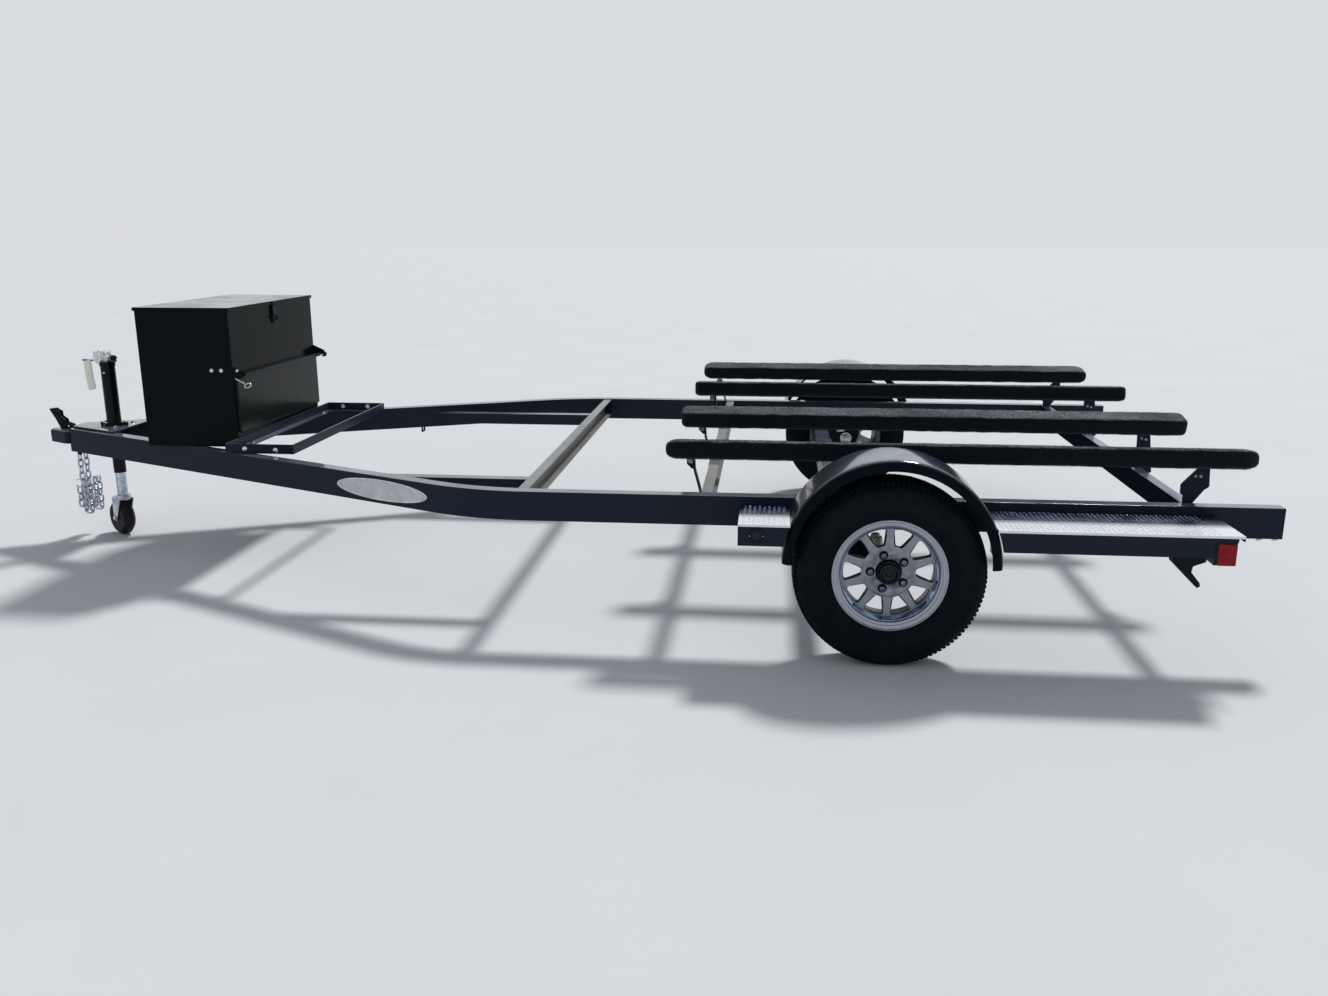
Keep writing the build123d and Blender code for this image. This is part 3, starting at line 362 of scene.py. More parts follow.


# Paint: dust lies on tops, on the black frame parts and the fenders together with a painted sky reflection
# there, fine is dust everywhere, gloss is the clear layer on tops that face up by at least the slope, streak
# is how even that layer is, peel is the orange peel, more chips means fewer of them

paintLooks = {
    # frame: the base black is lifted and blued as painted skylight, and the blue-grey on tops is dust with a
    # painted sky reflection
    "framePaint": dict(
        colour=(0.0195, 0.0265, 0.0405), dust=(0.30, 0.35, 0.44), dusty=0.55, fine=0.012,
        rough=(0.16, 0.30), peel=0.00016, shine=0.04, gloss=1.0, streak=0.75, chips=0.55),
    # rear crossmember and door hem: darker than the frame's black as painted shade; the pale blue on tops is
    # a painted sky reflection
    "rearPaint": dict(
        colour=(0.0085, 0.0120, 0.0185), dust=(0.36, 0.44, 0.58), dusty=0.60, fine=0.02,
        rough=(0.30, 0.45), peel=0.00016, shine=0.0, gloss=1.0, streak=0.8, chips=0.55),
    # crossmembers: the pale grey on tops is dust together with a painted sky reflection
    "crossPaint": dict(
        colour=(0.15, 0.148, 0.142), dust=(0.31, 0.305, 0.295), dusty=0.75, fine=0.26,
        rough=(0.30, 0.50), peel=0.0004, shine=0.35, gloss=0.2, streak=0.5, chips=0.30),
    # fenders: the blue on the crown is a painted sky reflection, and the low colour a painted brown
    # reflection lower on the crown
    "fenderPaint": dict(
        colour=(0.0034, 0.0062, 0.0102), dust=(0.34, 0.48, 0.70), dusty=0.34, fine=0.010,
        rough=(0.14, 0.24), peel=0.00006, shine=0.03, gloss=1.0, slope=0.05, streak=0.60, chips=0.95,
        paintedLowReflection=(0.25, 0.225, 0.185), coatIor=1.95),
    "boxPaint": dict(
        colour=(0.0042, 0.0068, 0.0078), dust=(0.24, 0.20, 0.15), dusty=0.10, fine=0.02,
        rough=(0.12, 0.22), peel=0.00012, shine=0.045, gloss=0.7, streak=0.35, chips=0.75),
    # door: lighter than the box's black, a painted grey reflection
    "doorPaint": dict(
        colour=(0.0100, 0.0135, 0.0125), dust=(0.24, 0.22, 0.19), dusty=0.08, fine=0.02,
        rough=(0.12, 0.22), peel=0.00012, shine=0.09, gloss=0.7, streak=0.35, chips=0.75),
    "jackPaint": dict(
        colour=(0.0055, 0.0075, 0.0100), dust=(0.17, 0.17, 0.165), dusty=0.05, fine=0.018,
        rough=(0.10, 0.18), peel=0.00010, shine=0.12, gloss=0.6, streak=0.6, chips=0.7),
    "capPaint": dict(
        colour=(0.0060, 0.0085, 0.0130), dust=(0.16, 0.19, 0.23), dusty=0.10, fine=0.02,
        rough=(0.16, 0.30), peel=0.00020, shine=0.22, gloss=0.9, slope=0.20, streak=0.4, chips=0.8),
    "blackSteel": dict(
        colour=(0.0075, 0.0095, 0.0130), dust=(0.12, 0.115, 0.11), dusty=0.10, fine=0.035,
        rough=(0.34, 0.5), peel=0.0004, shine=0.08, gloss=0.35, streak=0.5, chips=0.5),
    "crankPaint": dict(
        colour=(0.055, 0.060, 0.066), dust=(0.30, 0.30, 0.30), dusty=0.45, fine=0.16,
        rough=(0.22, 0.38), peel=0.0003, shine=0.35, gloss=0.9, streak=0.8, chips=0.3),
}
usualPaint = dict(slope=0.55, coatIor=1.5, chipColour=(0.10, 0.095, 0.09))


def paintNodes(tree, shader, look):
    look = {**usualPaint, **look}
    cloud = grain(tree, 2.6, 5)
    speck = grain(tree, 210, 4)
    level = facingUp(tree, look["slope"])
    dust = look["dust"]
    if "paintedLowReflection" in look:  # gloss and a painted sky reflection on a rolled top only, not on its upright lip; a painted brown reflection lower down
        across = maths(tree, "ABSOLUTE", facingWay(tree, "Y"))
        level = times(tree, level, ranged(tree, across, 1.0, 0.0, 0.30, 0.72))
        dust = blended(tree, facingUp(tree, 0.72, 0.97), look["paintedLowReflection"], dust)
    # dust together with a painted sky reflection, on tops only
    dustAndSkyMask = times(tree, times(tree, level, ranged(tree, cloud, 0.25, 1.0)), look["dusty"])
    fineDust = ranged(tree, speck, 0.0, look["fine"], 0.5, 0.8)
    colour = blended(tree, plus(tree, dustAndSkyMask, fineDust), look["colour"], dust)
    chipFrom = look["chips"] * 0.12 + 0.66
    chip = ranged(tree, grain(tree, 38, 6, 0.7), 0.0, 1.0, chipFrom, chipFrom + 0.04)
    streaks = ranged(tree, grain(tree, 4.5, 3, 0.55, (1, 1, 2.2), 0.6), look["streak"], 1.0, 0.38, 0.58)
    smear = grain(tree, 7, 4, 0.6, (1, 1, 3))
    feed(tree, shader, {
        "Base Color": blended(tree, times(tree, chip, 0.35), colour, look["chipColour"]),
        "Roughness": ranged(tree, smear, *look["rough"], 0.3, 0.7),
        "Specular IOR Level": look["shine"],
        "Coat Weight": times(tree, times(tree, level, streaks), look["gloss"]),
        "Coat Roughness": look["rough"][0] * 0.5,
        "Coat IOR": look["coatIor"],
        "Normal": bumped(tree, grain(tree, 95, 2), look["peel"]),
    })


metalLooks = {
    "zincPlate": dict(colour=(0.60, 0.65, 0.73), stain=(0.32, 0.37, 0.46), rough=(0.18, 0.38), scale=160,
                      bump=0.0003),
    "brightSteel": dict(colour=(0.70, 0.70, 0.69), stain=(0.45, 0.44, 0.42), rough=(0.16, 0.34), scale=120,
                        bump=0.0002),
    "dullSteel": dict(colour=(0.24, 0.25, 0.27), stain=(0.12, 0.13, 0.15), rough=(0.30, 0.48), scale=140,
                      bump=0.0003),
    "brushedPlate": dict(colour=(0.55, 0.56, 0.58), stain=(0.40, 0.41, 0.43), rough=(0.24, 0.40), scale=80,
                         bump=0.0002),
    "nutSteel": dict(colour=(0.36, 0.38, 0.43), stain=(0.15, 0.17, 0.20), rough=(0.28, 0.45), scale=140,
                     bump=0.0003),
    # gold arm bolts: near white and hardly metallic, brighter than gold zinc as painted light on bolts that
    # sit in the wheel's shade
    "goldZinc": dict(colour=(1.0, 0.98, 0.72), stain=(0.80, 0.80, 0.50), rough=(0.25, 0.45), scale=90,
                     bump=0.0003, metal=0.15),
}


def metalNodes(tree, shader, look):
    scale = look["scale"]
    patch = ranged(tree, grain(tree, scale * 0.25, 5, 0.65), 0, 0.8)
    feed(tree, shader, {
        "Base Color": blended(tree, patch, look["colour"], look["stain"]),
        "Roughness": uneven(tree, look["rough"], scale, 4),
        "Metallic": look.get("metal", 1.0),
        "Normal": bumped(tree, grain(tree, scale * 3), look["bump"]),
    })


treadLooks = {  # painted reflection: near white outside as a painted highlight, dark blue inside as a painted dark reflection
    "treadSheet": dict(outer=(1.0, 1.0, 1.0), outerPatch=(0.93, 0.95, 0.975),
                       inner=(0.040, 0.066, 0.140), innerPatch=(0.022, 0.038, 0.085)),
    "treadBars": dict(outer=(0.84, 0.87, 0.92), outerPatch=(0.74, 0.78, 0.84),
                      inner=(0.30, 0.38, 0.54), innerPatch=(0.040, 0.066, 0.140)),
}
treadZone = dict(share=0.50, soft=0.006)  # where the painted dark reflection ends, across the step


def treadNodes(tree, shader, look):
    y = addNode(tree, "ShaderNodeSeparateXYZ", {0: ownPlace(tree)}).outputs["Y"]
    patch = ranged(tree, grain(tree, 14, 6, 0.65), 0, 1.0, 0.40, 0.62)
    border = plus(tree, maths(tree, "ABSOLUTE", y), times(tree, grain(tree, 45, 4, 0.6), 0.012))
    middleY = railHigh.y + (stepOuter - railHigh.y) * treadZone["share"] + 0.006
    zone = ranged(tree, border, 0.0, 1.0, middleY - treadZone["soft"], middleY + treadZone["soft"])
    paintedDarkReflection = blended(tree, patch, look["inner"], look["innerPatch"])
    paintedBrightReflection = blended(tree, patch, look["outer"], look["outerPatch"])
    feed(tree, shader, {
        # the zone paints the reflection: dark blue and metallic inside, near white and hardly metallic
        # outside
        "Base Color": blended(tree, zone, paintedDarkReflection, paintedBrightReflection),
        "Metallic": ranged(tree, zone, 0.90, 0.05, 0.0, 1.0),
        "Roughness": uneven(tree, (0.14, 0.30), 60, 4),
        "Normal": bumped(tree, grain(tree, 180), 0.00008),
    })


alloyLooks = {  # lines is how fine the lathe's marks are
    "wheelSilver": dict(colour=(0.31, 0.33, 0.36), worn=(0.20, 0.22, 0.26), rough=(0.24, 0.40), lines=0.0,
                        metal=0.6),
    # a darker copy of the silver: painted shade on the barrel, the window walls and the chamfers
    "wheelSide": dict(colour=(0.080, 0.092, 0.118), worn=(0.048, 0.056, 0.076), rough=(0.22, 0.36), lines=0.0,
                      metal=0.6),
    "wheelLip": dict(colour=(0.34, 0.365, 0.41), worn=(0.27, 0.30, 0.345), rough=(0.10, 0.22), lines=1500.0,
                     metal=0.85),
    # the recess wall's blue is a painted sky reflection
    "wheelWall": dict(colour=(0.20, 0.29, 0.46), worn=(0.07, 0.11, 0.19), rough=(0.08, 0.18), lines=1500.0,
                      metal=0.9),
}
wheelHubShade = dict(colour=(0.055, 0.075, 0.120), full=0.044, none=0.105)  # painted shade: darker and bluer towards the hub, by radius


def alloyNodes(tree, shader, look):
    local = addNode(tree, "ShaderNodeMapping", {
        "Vector": ownPlace(tree), "Location": (-axleX, 0, -axleZ), "Scale": (1, 0, 1)})
    reach = addNode(tree, "ShaderNodeVectorMath", {0: local.outputs[0]}, operation="LENGTH").outputs["Value"]
    patch = ranged(tree, grain(tree, 24, 5, 0.6), 0, 0.55)
    cloud = ranged(tree, grain(tree, 34, 5, 0.65), 0.0, 1.0, 0.40, 0.60)
    # painted shade towards the hub, broken up by a cloud
    hubShade = times(tree, ranged(tree, reach, 1.0, 0.0, wheelHubShade["full"], wheelHubShade["none"]), cloud)
    marks = maths(tree, "SINE", times(tree, reach, look["lines"]))
    clean = blended(tree, patch, look["colour"], look["worn"])
    feed(tree, shader, {
        "Base Color": blended(tree, hubShade, clean, wheelHubShade["colour"]),
        "Roughness": uneven(tree, look["rough"], 90),
        "Metallic": look["metal"],
        "Normal": bumped(tree, plus(tree, times(tree, marks, 0.4), grain(tree, 260, 2)), 0.0001),
    })


rubberLooks = {
    "tyreRubber": dict(colour=(0.0028, 0.0066, 0.0098), dust=(0.024, 0.033, 0.038), dusty=0.15,
                       rough=(0.60, 0.82), pores=240),
    "casterRubber": dict(colour=(0.012, 0.012, 0.013), dust=(0.10, 0.09, 0.08), dusty=0.4,
                         rough=(0.40, 0.62), pores=180),
    "knobPlastic": dict(colour=(0.012, 0.012, 0.013), dust=(0.10, 0.10, 0.10), dusty=0.1,
                        rough=(0.30, 0.45), pores=300),
}


def rubberNodes(tree, shader, look):
    dirt = times(tree, ranged(tree, grain(tree, 11, 6, 0.65), 0, 1, 0.42, 0.72), look["dusty"])
    feed(tree, shader, {
        "Base Color": blended(tree, dirt, look["colour"], look["dust"]),
        "Roughness": uneven(tree, look["rough"], 30, 4),
        "Specular IOR Level": 0.08,
        "Normal": bumped(tree, grain(tree, look["pores"], 5, 0.65), 0.0006),
    })


carpetLooks = {
    "bunkCarpet": dict(pile=(0.0052, 0.0090, 0.0138), worn=(0.42, 0.45, 0.46), lint=(0.36, 0.38, 0.39),
                       shade=(0.003, 0.003, 0.004), sheen=0.12),
}


def carpetNodes(tree, shader, look):
    tuft = grain(tree, 420, 3, 0.7)
    clump = grain(tree, 125, 4, 0.75)
    patch = grain(tree, 5.5, 6, 0.65, (0.5, 1, 1))
    dusty = times(tree, facingUp(tree), ranged(tree, patch, 0.35, 1.0))
    share = times(tree, dusty, ranged(tree, clump, 0.10, 1.0, 0.40, 0.60))
    lint = ranged(tree, grain(tree, 170, 5, 0.7), 0.0, 0.28, 0.62, 0.74)
    colour = blended(tree, lint, blended(tree, share, look["pile"], look["worn"]), look["lint"])
    feed(tree, shader, {
        "Base Color": blended(tree, ranged(tree, tuft, 0.45, 0.0, 0.3, 0.6), colour, look["shade"]),
        "Roughness": ranged(tree, tuft, 0.85, 1.0),
        "Specular IOR Level": 0.06,
        "Sheen Weight": look["sheen"],
        "Sheen Roughness": 0.5,
        "Normal": bumped(tree, plus(tree, tuft, times(tree, grain(tree, 900, 2), 0.5)), 0.0022),
    })


lensLooks = {
    "redLens": dict(colour=(0.36, 0.007, 0.020), deep=(0.17, 0.003, 0.010), rough=(0.10, 0.22), ribs=90),
    "markerLens": dict(colour=(0.020, 0.026, 0.036), deep=(0.010, 0.013, 0.019), rough=(0.12, 0.25),
                       ribs=120),
}


def lensNodes(tree, shader, look):
    patch = ranged(tree, grain(tree, 60, 4), 0, 0.6)
    lines = addNode(
        tree, "ShaderNodeTexWave", {"Vector": ownPlace(tree), "Scale": look["ribs"], "Distortion": 0.0},
        wave_type="BANDS", bands_direction="Z")
    feed(tree, shader, {
        "Base Color": blended(tree, patch, look["colour"], look["deep"]),
        "Roughness": uneven(tree, look["rough"], 45),
        "Specular IOR Level": 0.16,
        "Coat Weight": 0.03,
        "Coat Roughness": 0.06,
        "Normal": bumped(tree, lines.outputs["Fac"], 0.0006),
    })


paperLooks = {  # clear is how much light passes through, fold is how fine the creases are
    "tagCard": dict(colour=(1.0, 0.97, 0.84), shade=(0.97, 0.93, 0.78), rough=(0.45, 0.6), fold=60, coat=0.0,
                    clear=0.9),
    "plasticFilm": dict(colour=(0.99, 0.99, 1.0), shade=(0.90, 0.92, 0.94), rough=(0.18, 0.35), fold=90,
                        coat=0.3, clear=0.6),
}


def paperNodes(tree, shader, look):
    patch = ranged(tree, grain(tree, 35, 5, 0.6), 0, 0.6)
    feed(tree, shader, {
        "Base Color": blended(tree, patch, look["colour"], look["shade"]),
        "Roughness": uneven(tree, look["rough"], 80),
        "Coat Weight": look["coat"],
        "Subsurface Weight": look["clear"],
        "Subsurface Radius": (0.01, 0.01, 0.01),
        "Normal": bumped(tree, grain(tree, look["fold"]), 0.0008),
    })


finishes = {}
for fill, looks in (
    (paintNodes, paintLooks), (metalNodes, metalLooks), (rubberNodes, rubberLooks), (alloyNodes, alloyLooks),
    (treadNodes, treadLooks), (carpetNodes, carpetLooks), (lensNodes, lensLooks), (paperNodes, paperLooks),
):
    for name, look in looks.items():
        finishes[name], tree, shader = newFinish(name)
        fill(tree, shader, look)
print("finishes made:", len(finishes))


# Steel parts keep their CAD form and get rolled or broken edges: edge width in metres and finish

steelParts = {
    "rail_left": (0.006, "framePaint"), "rail_right": (0.006, "framePaint"),
    "brace_left": (0.005, "framePaint"), "brace_right": (0.005, "framePaint"),
    "crossmember_front": (0.0018, "crossPaint"), "crossmember_bunk": (0.0018, "crossPaint"),
    "crossmember_rear": (0.0018, "rearPaint"),
    "bunk_brackets_front": (0.0012, "blackSteel"), "bunk_brackets_rear": (0.0012, "framePaint"),
    "rack": (0.0012, "framePaint"), "jack_plate": (0.0016, "framePaint"),
    "toolbox_body": (0.0010, "boxPaint"), "toolbox_lid": (0.0016, "boxPaint"),
    "toolbox_door": (0.0014, "doorPaint"),
    "licence_bracket": (0.0008, "blackSteel"), "tie_ring": (0.0022, "blackSteel"),
    "coupler_lever": (0.0014, "blackSteel"), "chain_tabs": (0.0010, "framePaint"),
}
plainParts = {  # the other nodes: right as they are, or under a piece that replaces them
    "framePaint": ("axle_tube", "coupler", "step_front_left", "step_front_right", "step_rear_left",
                   "step_rear_right"),
    "blackSteel": ("axle_arm_left", "axle_arm_right", "jack_crank", "hub_left", "hub_right"),
    "zincPlate": ("jack_leg", "caster_fork", "safety_chain_left", "safety_chain_right"),
    "casterRubber": ("caster_wheel",),
    "jackPaint": ("jack_tube",),
    "fenderPaint": ("fender_left", "fender_right"),
    "redLens": ("tail_lamps",),
    "markerLens": ("marker_lamps",),
    "tyreRubber": ("tyre_left", "tyre_right"),
    "wheelSilver": ("rim_left", "rim_right"),
    "bunkCarpet": ("bunk_outer_left", "bunk_inner_left", "bunk_inner_right", "bunk_outer_right"),
}
bodyOf = {node: body for body, group in frame["record"]["behaviour"]["bodies"].items() for node in group}

for node, (edge, finish) in steelParts.items():
    mesh = nodes[node].data
    plain = ([v.co.copy() for v in mesh.vertices], [tuple(p.vertices) for p in mesh.polygons])
    shape = softened(plain, edge, thin=0.6)
    makePiece(f"{node}.dressed", shape, finish, 30, bodyOf[node], (node,))
for finish, group in plainParts.items():
    for node in group:
        nodes[node].data.materials.clear()
        nodes[node].data.materials.append(finishes[finish])
print("steel parts dressed:", len(steelParts))


# Wheels: local Z points outwards from the wheel, local X is up

wheelSize = dict(
    half=0.069, flange=0.1825, bead=0.1651, inside=0.1461, recess=0.046, lipInner=0.155, spokes=10,
    spokeHalf=0.0128, spokeRoot=0.0158, windowRoot=0.086, windowTip=0.1425, windowRound=0.012,
    spokeCut=0.0048, faceThick=0.017, padRadius=0.079, padRaise=0.0012, padCut=0.0014, bore=0.0410, studs=5,
    stud=0.05715, pocket=0.0135, pocketFloor=0.0175, nut=0.0105, nutSeat=0.012, cap=0.040)
windowEnd = ((1.0, 0.009), (0.62, 0.0), (-0.62, 0.0), (-1.0, 0.009))  # round end: share of width, metres out
lipSteps = (  # radius and depth below the front of the polished lip's ridges
    (0.1768, 0.0), (0.1763, 0.0024), (0.1745, 0.0024), (0.1740, 0.0002), (0.1640, 0.0016), (0.1635, 0.0042),
    (0.1615, 0.0046), (0.1610, 0.0026), (0.1578, 0.0038))


def makeWheelPieces(side, name, node, rows):  # the first row's piece stands for the CAD node
    out, up = Vector((0, side, 0)), Vector((0, 0, 1))
    seat = seatOf(up, out.cross(up), out, (axleX, side * wheelY, axleZ))
    for piece, shape, finish, slotName, smooth in rows:
        stands = (f"{node}_{name}",) if piece == rows[0][0] else ()
        makePiece(f"{piece}.{name}", placed(shape, seat), finish, smooth, f"wheel_{name}", stands)


def spokeWindow():  # opening between two spokes, centred on local X
    s = wheelSize
    half = pi / s["spokes"]
    tip, root = half - s["spokeHalf"] / s["windowTip"], half - s["spokeRoot"] / s["windowRoot"]
    corners = [(s["windowTip"], angle) for angle in (-tip, 0, tip)]
    corners += [(s["windowRoot"] + outward, root * share) for share, outward in windowEnd]
    return rounded([(reach * cos(a), reach * sin(a)) for reach, a in corners], s["windowRound"], 6)


def leaves(outline, centre, way):  # where a ray from the centre leaves a closed outline
    reaches = []
    for i, first in enumerate(outline):
        start = Vector(first) - centre
        edge = Vector(outline[(i + 1) % len(outline)]) - Vector(first)
        across = way.cross(edge)
        if abs(across) < 1e-12:
            continue
        reach, share = start.cross(edge) / across, start.cross(way) / across
        if reach > 0 and -1e-6 <= share <= 1 + 1e-6:
            reaches.append(reach)
    return centre + way * min(reaches)


def discSlice(hole, inner, outer, half, low, high, cut):  # sector of a disc with a hole: faces, hole's sides
    centre = Vector((sum(x for x, y in hole) / len(hole), sum(y for x, y in hole) / len(hole)))
    edge = arc(inner, half, -half, 12) + arc(outer, -half, half, 16)
    corners = [Vector((r * cos(a), r * sin(a))) - centre for r in (inner, outer) for a in (-half, half)]
    angles = sorted([atan2(c.y, c.x) for c in corners] + [-pi + 2 * pi * (k + 0.5) / 60 for k in range(60)])
    rings = [[] for _ in range(5)]
    heights = (high, high, high - cut * 1.3, low, low)
    for angle in angles:
        way = Vector((cos(angle), sin(angle)))
        border, lip = leaves(edge, centre, way), leaves(hole, centre, way)
        shoulder = lip + way * min(cut, (border - lip).length * 0.45)
        for ring, spot, height in zip(rings, (border, shoulder, lip, lip, border), heights):
            ring.append(Vector((spot.x, spot.y, height)))
    count = len(angles)
    bands = [(first + second, band(0, count, count)) for first, second in zip(rings, rings[1:])]
    return joined([bands[0], bands[3]]), joined(bands[1:3])


def makeRim(side, name):
    s = wheelSize
    front, back, face = s["half"], -s["half"], s["half"] - s["recess"]
    flange, bead, inside, lipInner, bore, pad = (
        s[key] for key in ("flange", "bead", "inside", "lipInner", "bore", "padRadius"))
    barrel = turned([
        (flange - 0.003, back), (flange, back + 0.002), (flange, back + 0.005), (bead, back + 0.012),
        (bead, -0.045), (inside + 0.005, -0.034), (inside + 0.005, face), (bead, front - 0.012),
        (flange, front - 0.005),
    ], 128)
    lining = turned([
        (inside, face - 0.004), (inside, -0.034), (bead - 0.005, back + 0.004), (flange - 0.003, back),
    ], 128)
    lip = turned([
        (flange, front - 0.005), (flange + 0.0003, front - 0.002), (flange - 0.002, front),
        *((radius, front - deep) for radius, deep in lipSteps),
        (lipInner + 0.0005, front - 0.0058), (lipInner - 0.001, front - 0.0085),
    ], 128)
    wall = turned([
        (lipInner - 0.001, front - 0.0085), (lipInner - 0.002, front - 0.012),
        (lipInner - 0.0045, front - 0.013), (inside + 0.0015, face + 0.003), (inside, face - 0.004),
    ], 128)
    step = 2 * pi / s["spokes"]
    raised, padTop = s["padRaise"], face + s["padRaise"]
    spokes = discSlice(spokeWindow(), pad - 0.006, inside + 0.001, step / 2, face - s["faceThick"], face,
                       s["spokeCut"])
    pocket = arc(s["pocket"], 0, 2 * pi, 36, s["stud"])[:36]
    stars = discSlice(pocket, bore + 0.001, pad - 0.004, step, s["pocketFloor"], padTop, s["padCut"])
    faces, sides, pockets = [], [], []
    for count, slices, walls in ((s["spokes"], spokes, sides), (s["studs"], stars, pockets)):
        for k in range(count):
            turn = Matrix.Rotation(step / 2 + 2 * pi * k / count, 4, "Z")
            faces.append(placed(slices[0], turn))
            walls.append(placed(slices[1], turn))
    faces.append(turned([
        (pad - 0.004, padTop), (pad - 0.001, padTop - raised * 0.15), (pad + 0.002, padTop - raised * 0.5),
        (pad + 0.005, face + raised * 0.15), (pad + 0.0065, face - 0.0001),
    ], 96))
    sides.append(turned([
        (bore + 0.001, padTop), (bore, padTop - 0.001), (bore, 0.0045), (pad - 0.002, 0.0045),
        (pad - 0.002, face - s["faceThick"] + 0.001),
    ], 72))
    pockets.append(turned([(bore, s["pocketFloor"]), (pad - 0.004, s["pocketFloor"])], 48))
    makeWheelPieces(side, name, "rim", [
        ("rimBarrel", joined([barrel, lining]), "wheelSide", "alloy", 40),
        ("rimLip", lip, "wheelLip", "alloy", 30),
        ("rimWall", wall, "wheelWall", "alloy", 30),
        ("rimSpokes", softened(joined(faces), 0), "wheelSilver", "alloy", 30),
        ("rimSides", joined(sides), "wheelSide", "alloy", 30),
        # the pockets round the nuts are black steel: painted shade in these recesses
        ("nutPockets", joined(pockets), "blackSteel", "alloy", 30),
    ])


def makeHub(side, name):
    s = wheelSize
    nut = turned([(0.0046, 0.0195), (0.0050, 0.0232), (0.0062, 0.0243), (0.0080, 0.0235), (s["nut"], 0.0195),
                  (s["nut"], 0)], 6)
    seatRing = turned([(0.0095, 0.004), (0.0118, 0.0015), (0.0118, 0)], 24)
    studEnd = turned([(0, 0.0208), (0.0040, 0.0205), (0.0048, 0.0198)], 12)
    nuts, studs = [], []
    for k in range(s["studs"]):
        angle = pi / s["spokes"] + 2 * pi * k / s["studs"]
        place = Matrix.Translation((s["stud"] * cos(angle), s["stud"] * sin(angle), s["nutSeat"]))
        studs.append(placed(studEnd, place))
        nuts.append(placed(joined([nut, seatRing]), place @ Matrix.Rotation(0.3 * k, 4, "Z")))
    low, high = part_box(f"hub_{name}")
    back = (low.y if side > 0 else -high.y) - wheelY
    drum = turned([
        (0.018, back), (0.034, back), (0.0375, back + 0.003), (0.0375, -0.010), (0.052, -0.0065),
        (0.070, -0.006), (0.0735, -0.003), (0.0735, 0.003), (0.071, 0.0038), (0.040, 0.0038),
    ])
    cap = s["cap"]
    facets = turned([
        (cap, 0.0035), (cap, 0.010), (cap - 0.0012, 0.012), (cap - 0.0012, 0.040), (cap - 0.004, 0.047),
        (0.031, 0.0535), (0.0265, 0.0555), (0.0255, 0.0535), (0.022, 0.046), (0, 0.0445),
    ], 12)
    collar = turned([(cap + 0.0008, 0.0036), (cap + 0.0008, 0.012), (cap - 0.002, 0.0135)], 48)
    plug = turned([(0, 0.0505), (0.006, 0.050), (0.0095, 0.0475), (0.0105, 0.045)], 20)
    makeWheelPieces(side, name, "hub", [
        ("hubDrum", drum, "blackSteel", "hub_black", 35),
        ("hubCap", joined([facets, collar, plug]), "capPaint", "hub_black", 20),
        ("wheelNuts", joined(nuts), "nutSteel", "zinc", 25),
        ("studEnds", joined(studs), "dullSteel", "zinc", 40),
    ])


tyreSize = dict(
    outer=0.305, crown=0.0048, treadDeep=0.0085, treadHalf=0.0585, blocks=84, blockShare=0.38,
    blockEdge=0.0016,
    rows=((-0.0115, 0.0115, 2.6, 0.0), (0.0165, 0.0345, -2.2, 0.35), (-0.0345, -0.0165, -2.2, 0.65)),
    shoulderBlocks=116, shoulderShare=0.34, shoulder=(0.0395, 0.0610), shoulderLean=1.2)
sideWall = [  # radius and distance from the wheel's middle, from the shoulder to the bead and back inside
    (0.2895, 0.0640), (0.2840, 0.0725), (0.2760, 0.0790), (0.2660, 0.0835), (0.2580, 0.0858),
    (0.2570, 0.0868), (0.2545, 0.0868), (0.2535, 0.0862), (0.2440, 0.0880), (0.2300, 0.0885),
    (0.2190, 0.0872), (0.2180, 0.0878), (0.2150, 0.0872), (0.2140, 0.0858), (0.2040, 0.0812),
    (0.1960, 0.0745), (0.1925, 0.0730), (0.1895, 0.0737), (0.1865, 0.0722), (0.1850, 0.0690),
    (0.1829, 0.0655), (0.1829, 0.0642), (0.1655, 0.0566), (0.1655, 0.0430), (0.1720, 0.0430),
    (0.2300, 0.0800), (0.2750, 0.0690), (0.2850, 0.0500), (0.2865, 0.0)]
lugSteps = ((0.2945, 0.0585), (0.2950, 0.0612), (0.2905, 0.0658), (0.2868, 0.0703), (0.2850, 0.0714))


def treadRadius(out):  # crown of the tread: a little smaller towards the shoulders
    return tyreSize["outer"] - tyreSize["crown"] * (out / tyreSize["treadHalf"]) ** 2


def treadBlock(angle, reach, low, high, lean, height):  # one rubber block between two widths
    edge = tyreSize["blockEdge"]
    points = []
    for level, inset in ((-0.003, 0.0), (height - edge, 0.0), (height, edge)):
        for out, sign in ((low + inset, -1), (high - inset, -1), (high - inset, 1), (low + inset, 1)):
            swing = angle + sign * (reach - inset / 0.3) + lean * (out - (low + high) / 2)
            radius = treadRadius(out) - tyreSize["treadDeep"] + level
            points.append(Vector((radius * cos(swing), radius * sin(swing), out)))
    return points, flipped([(8, 9, 10, 11), *band(0, 4, 4), *band(4, 8, 4)])


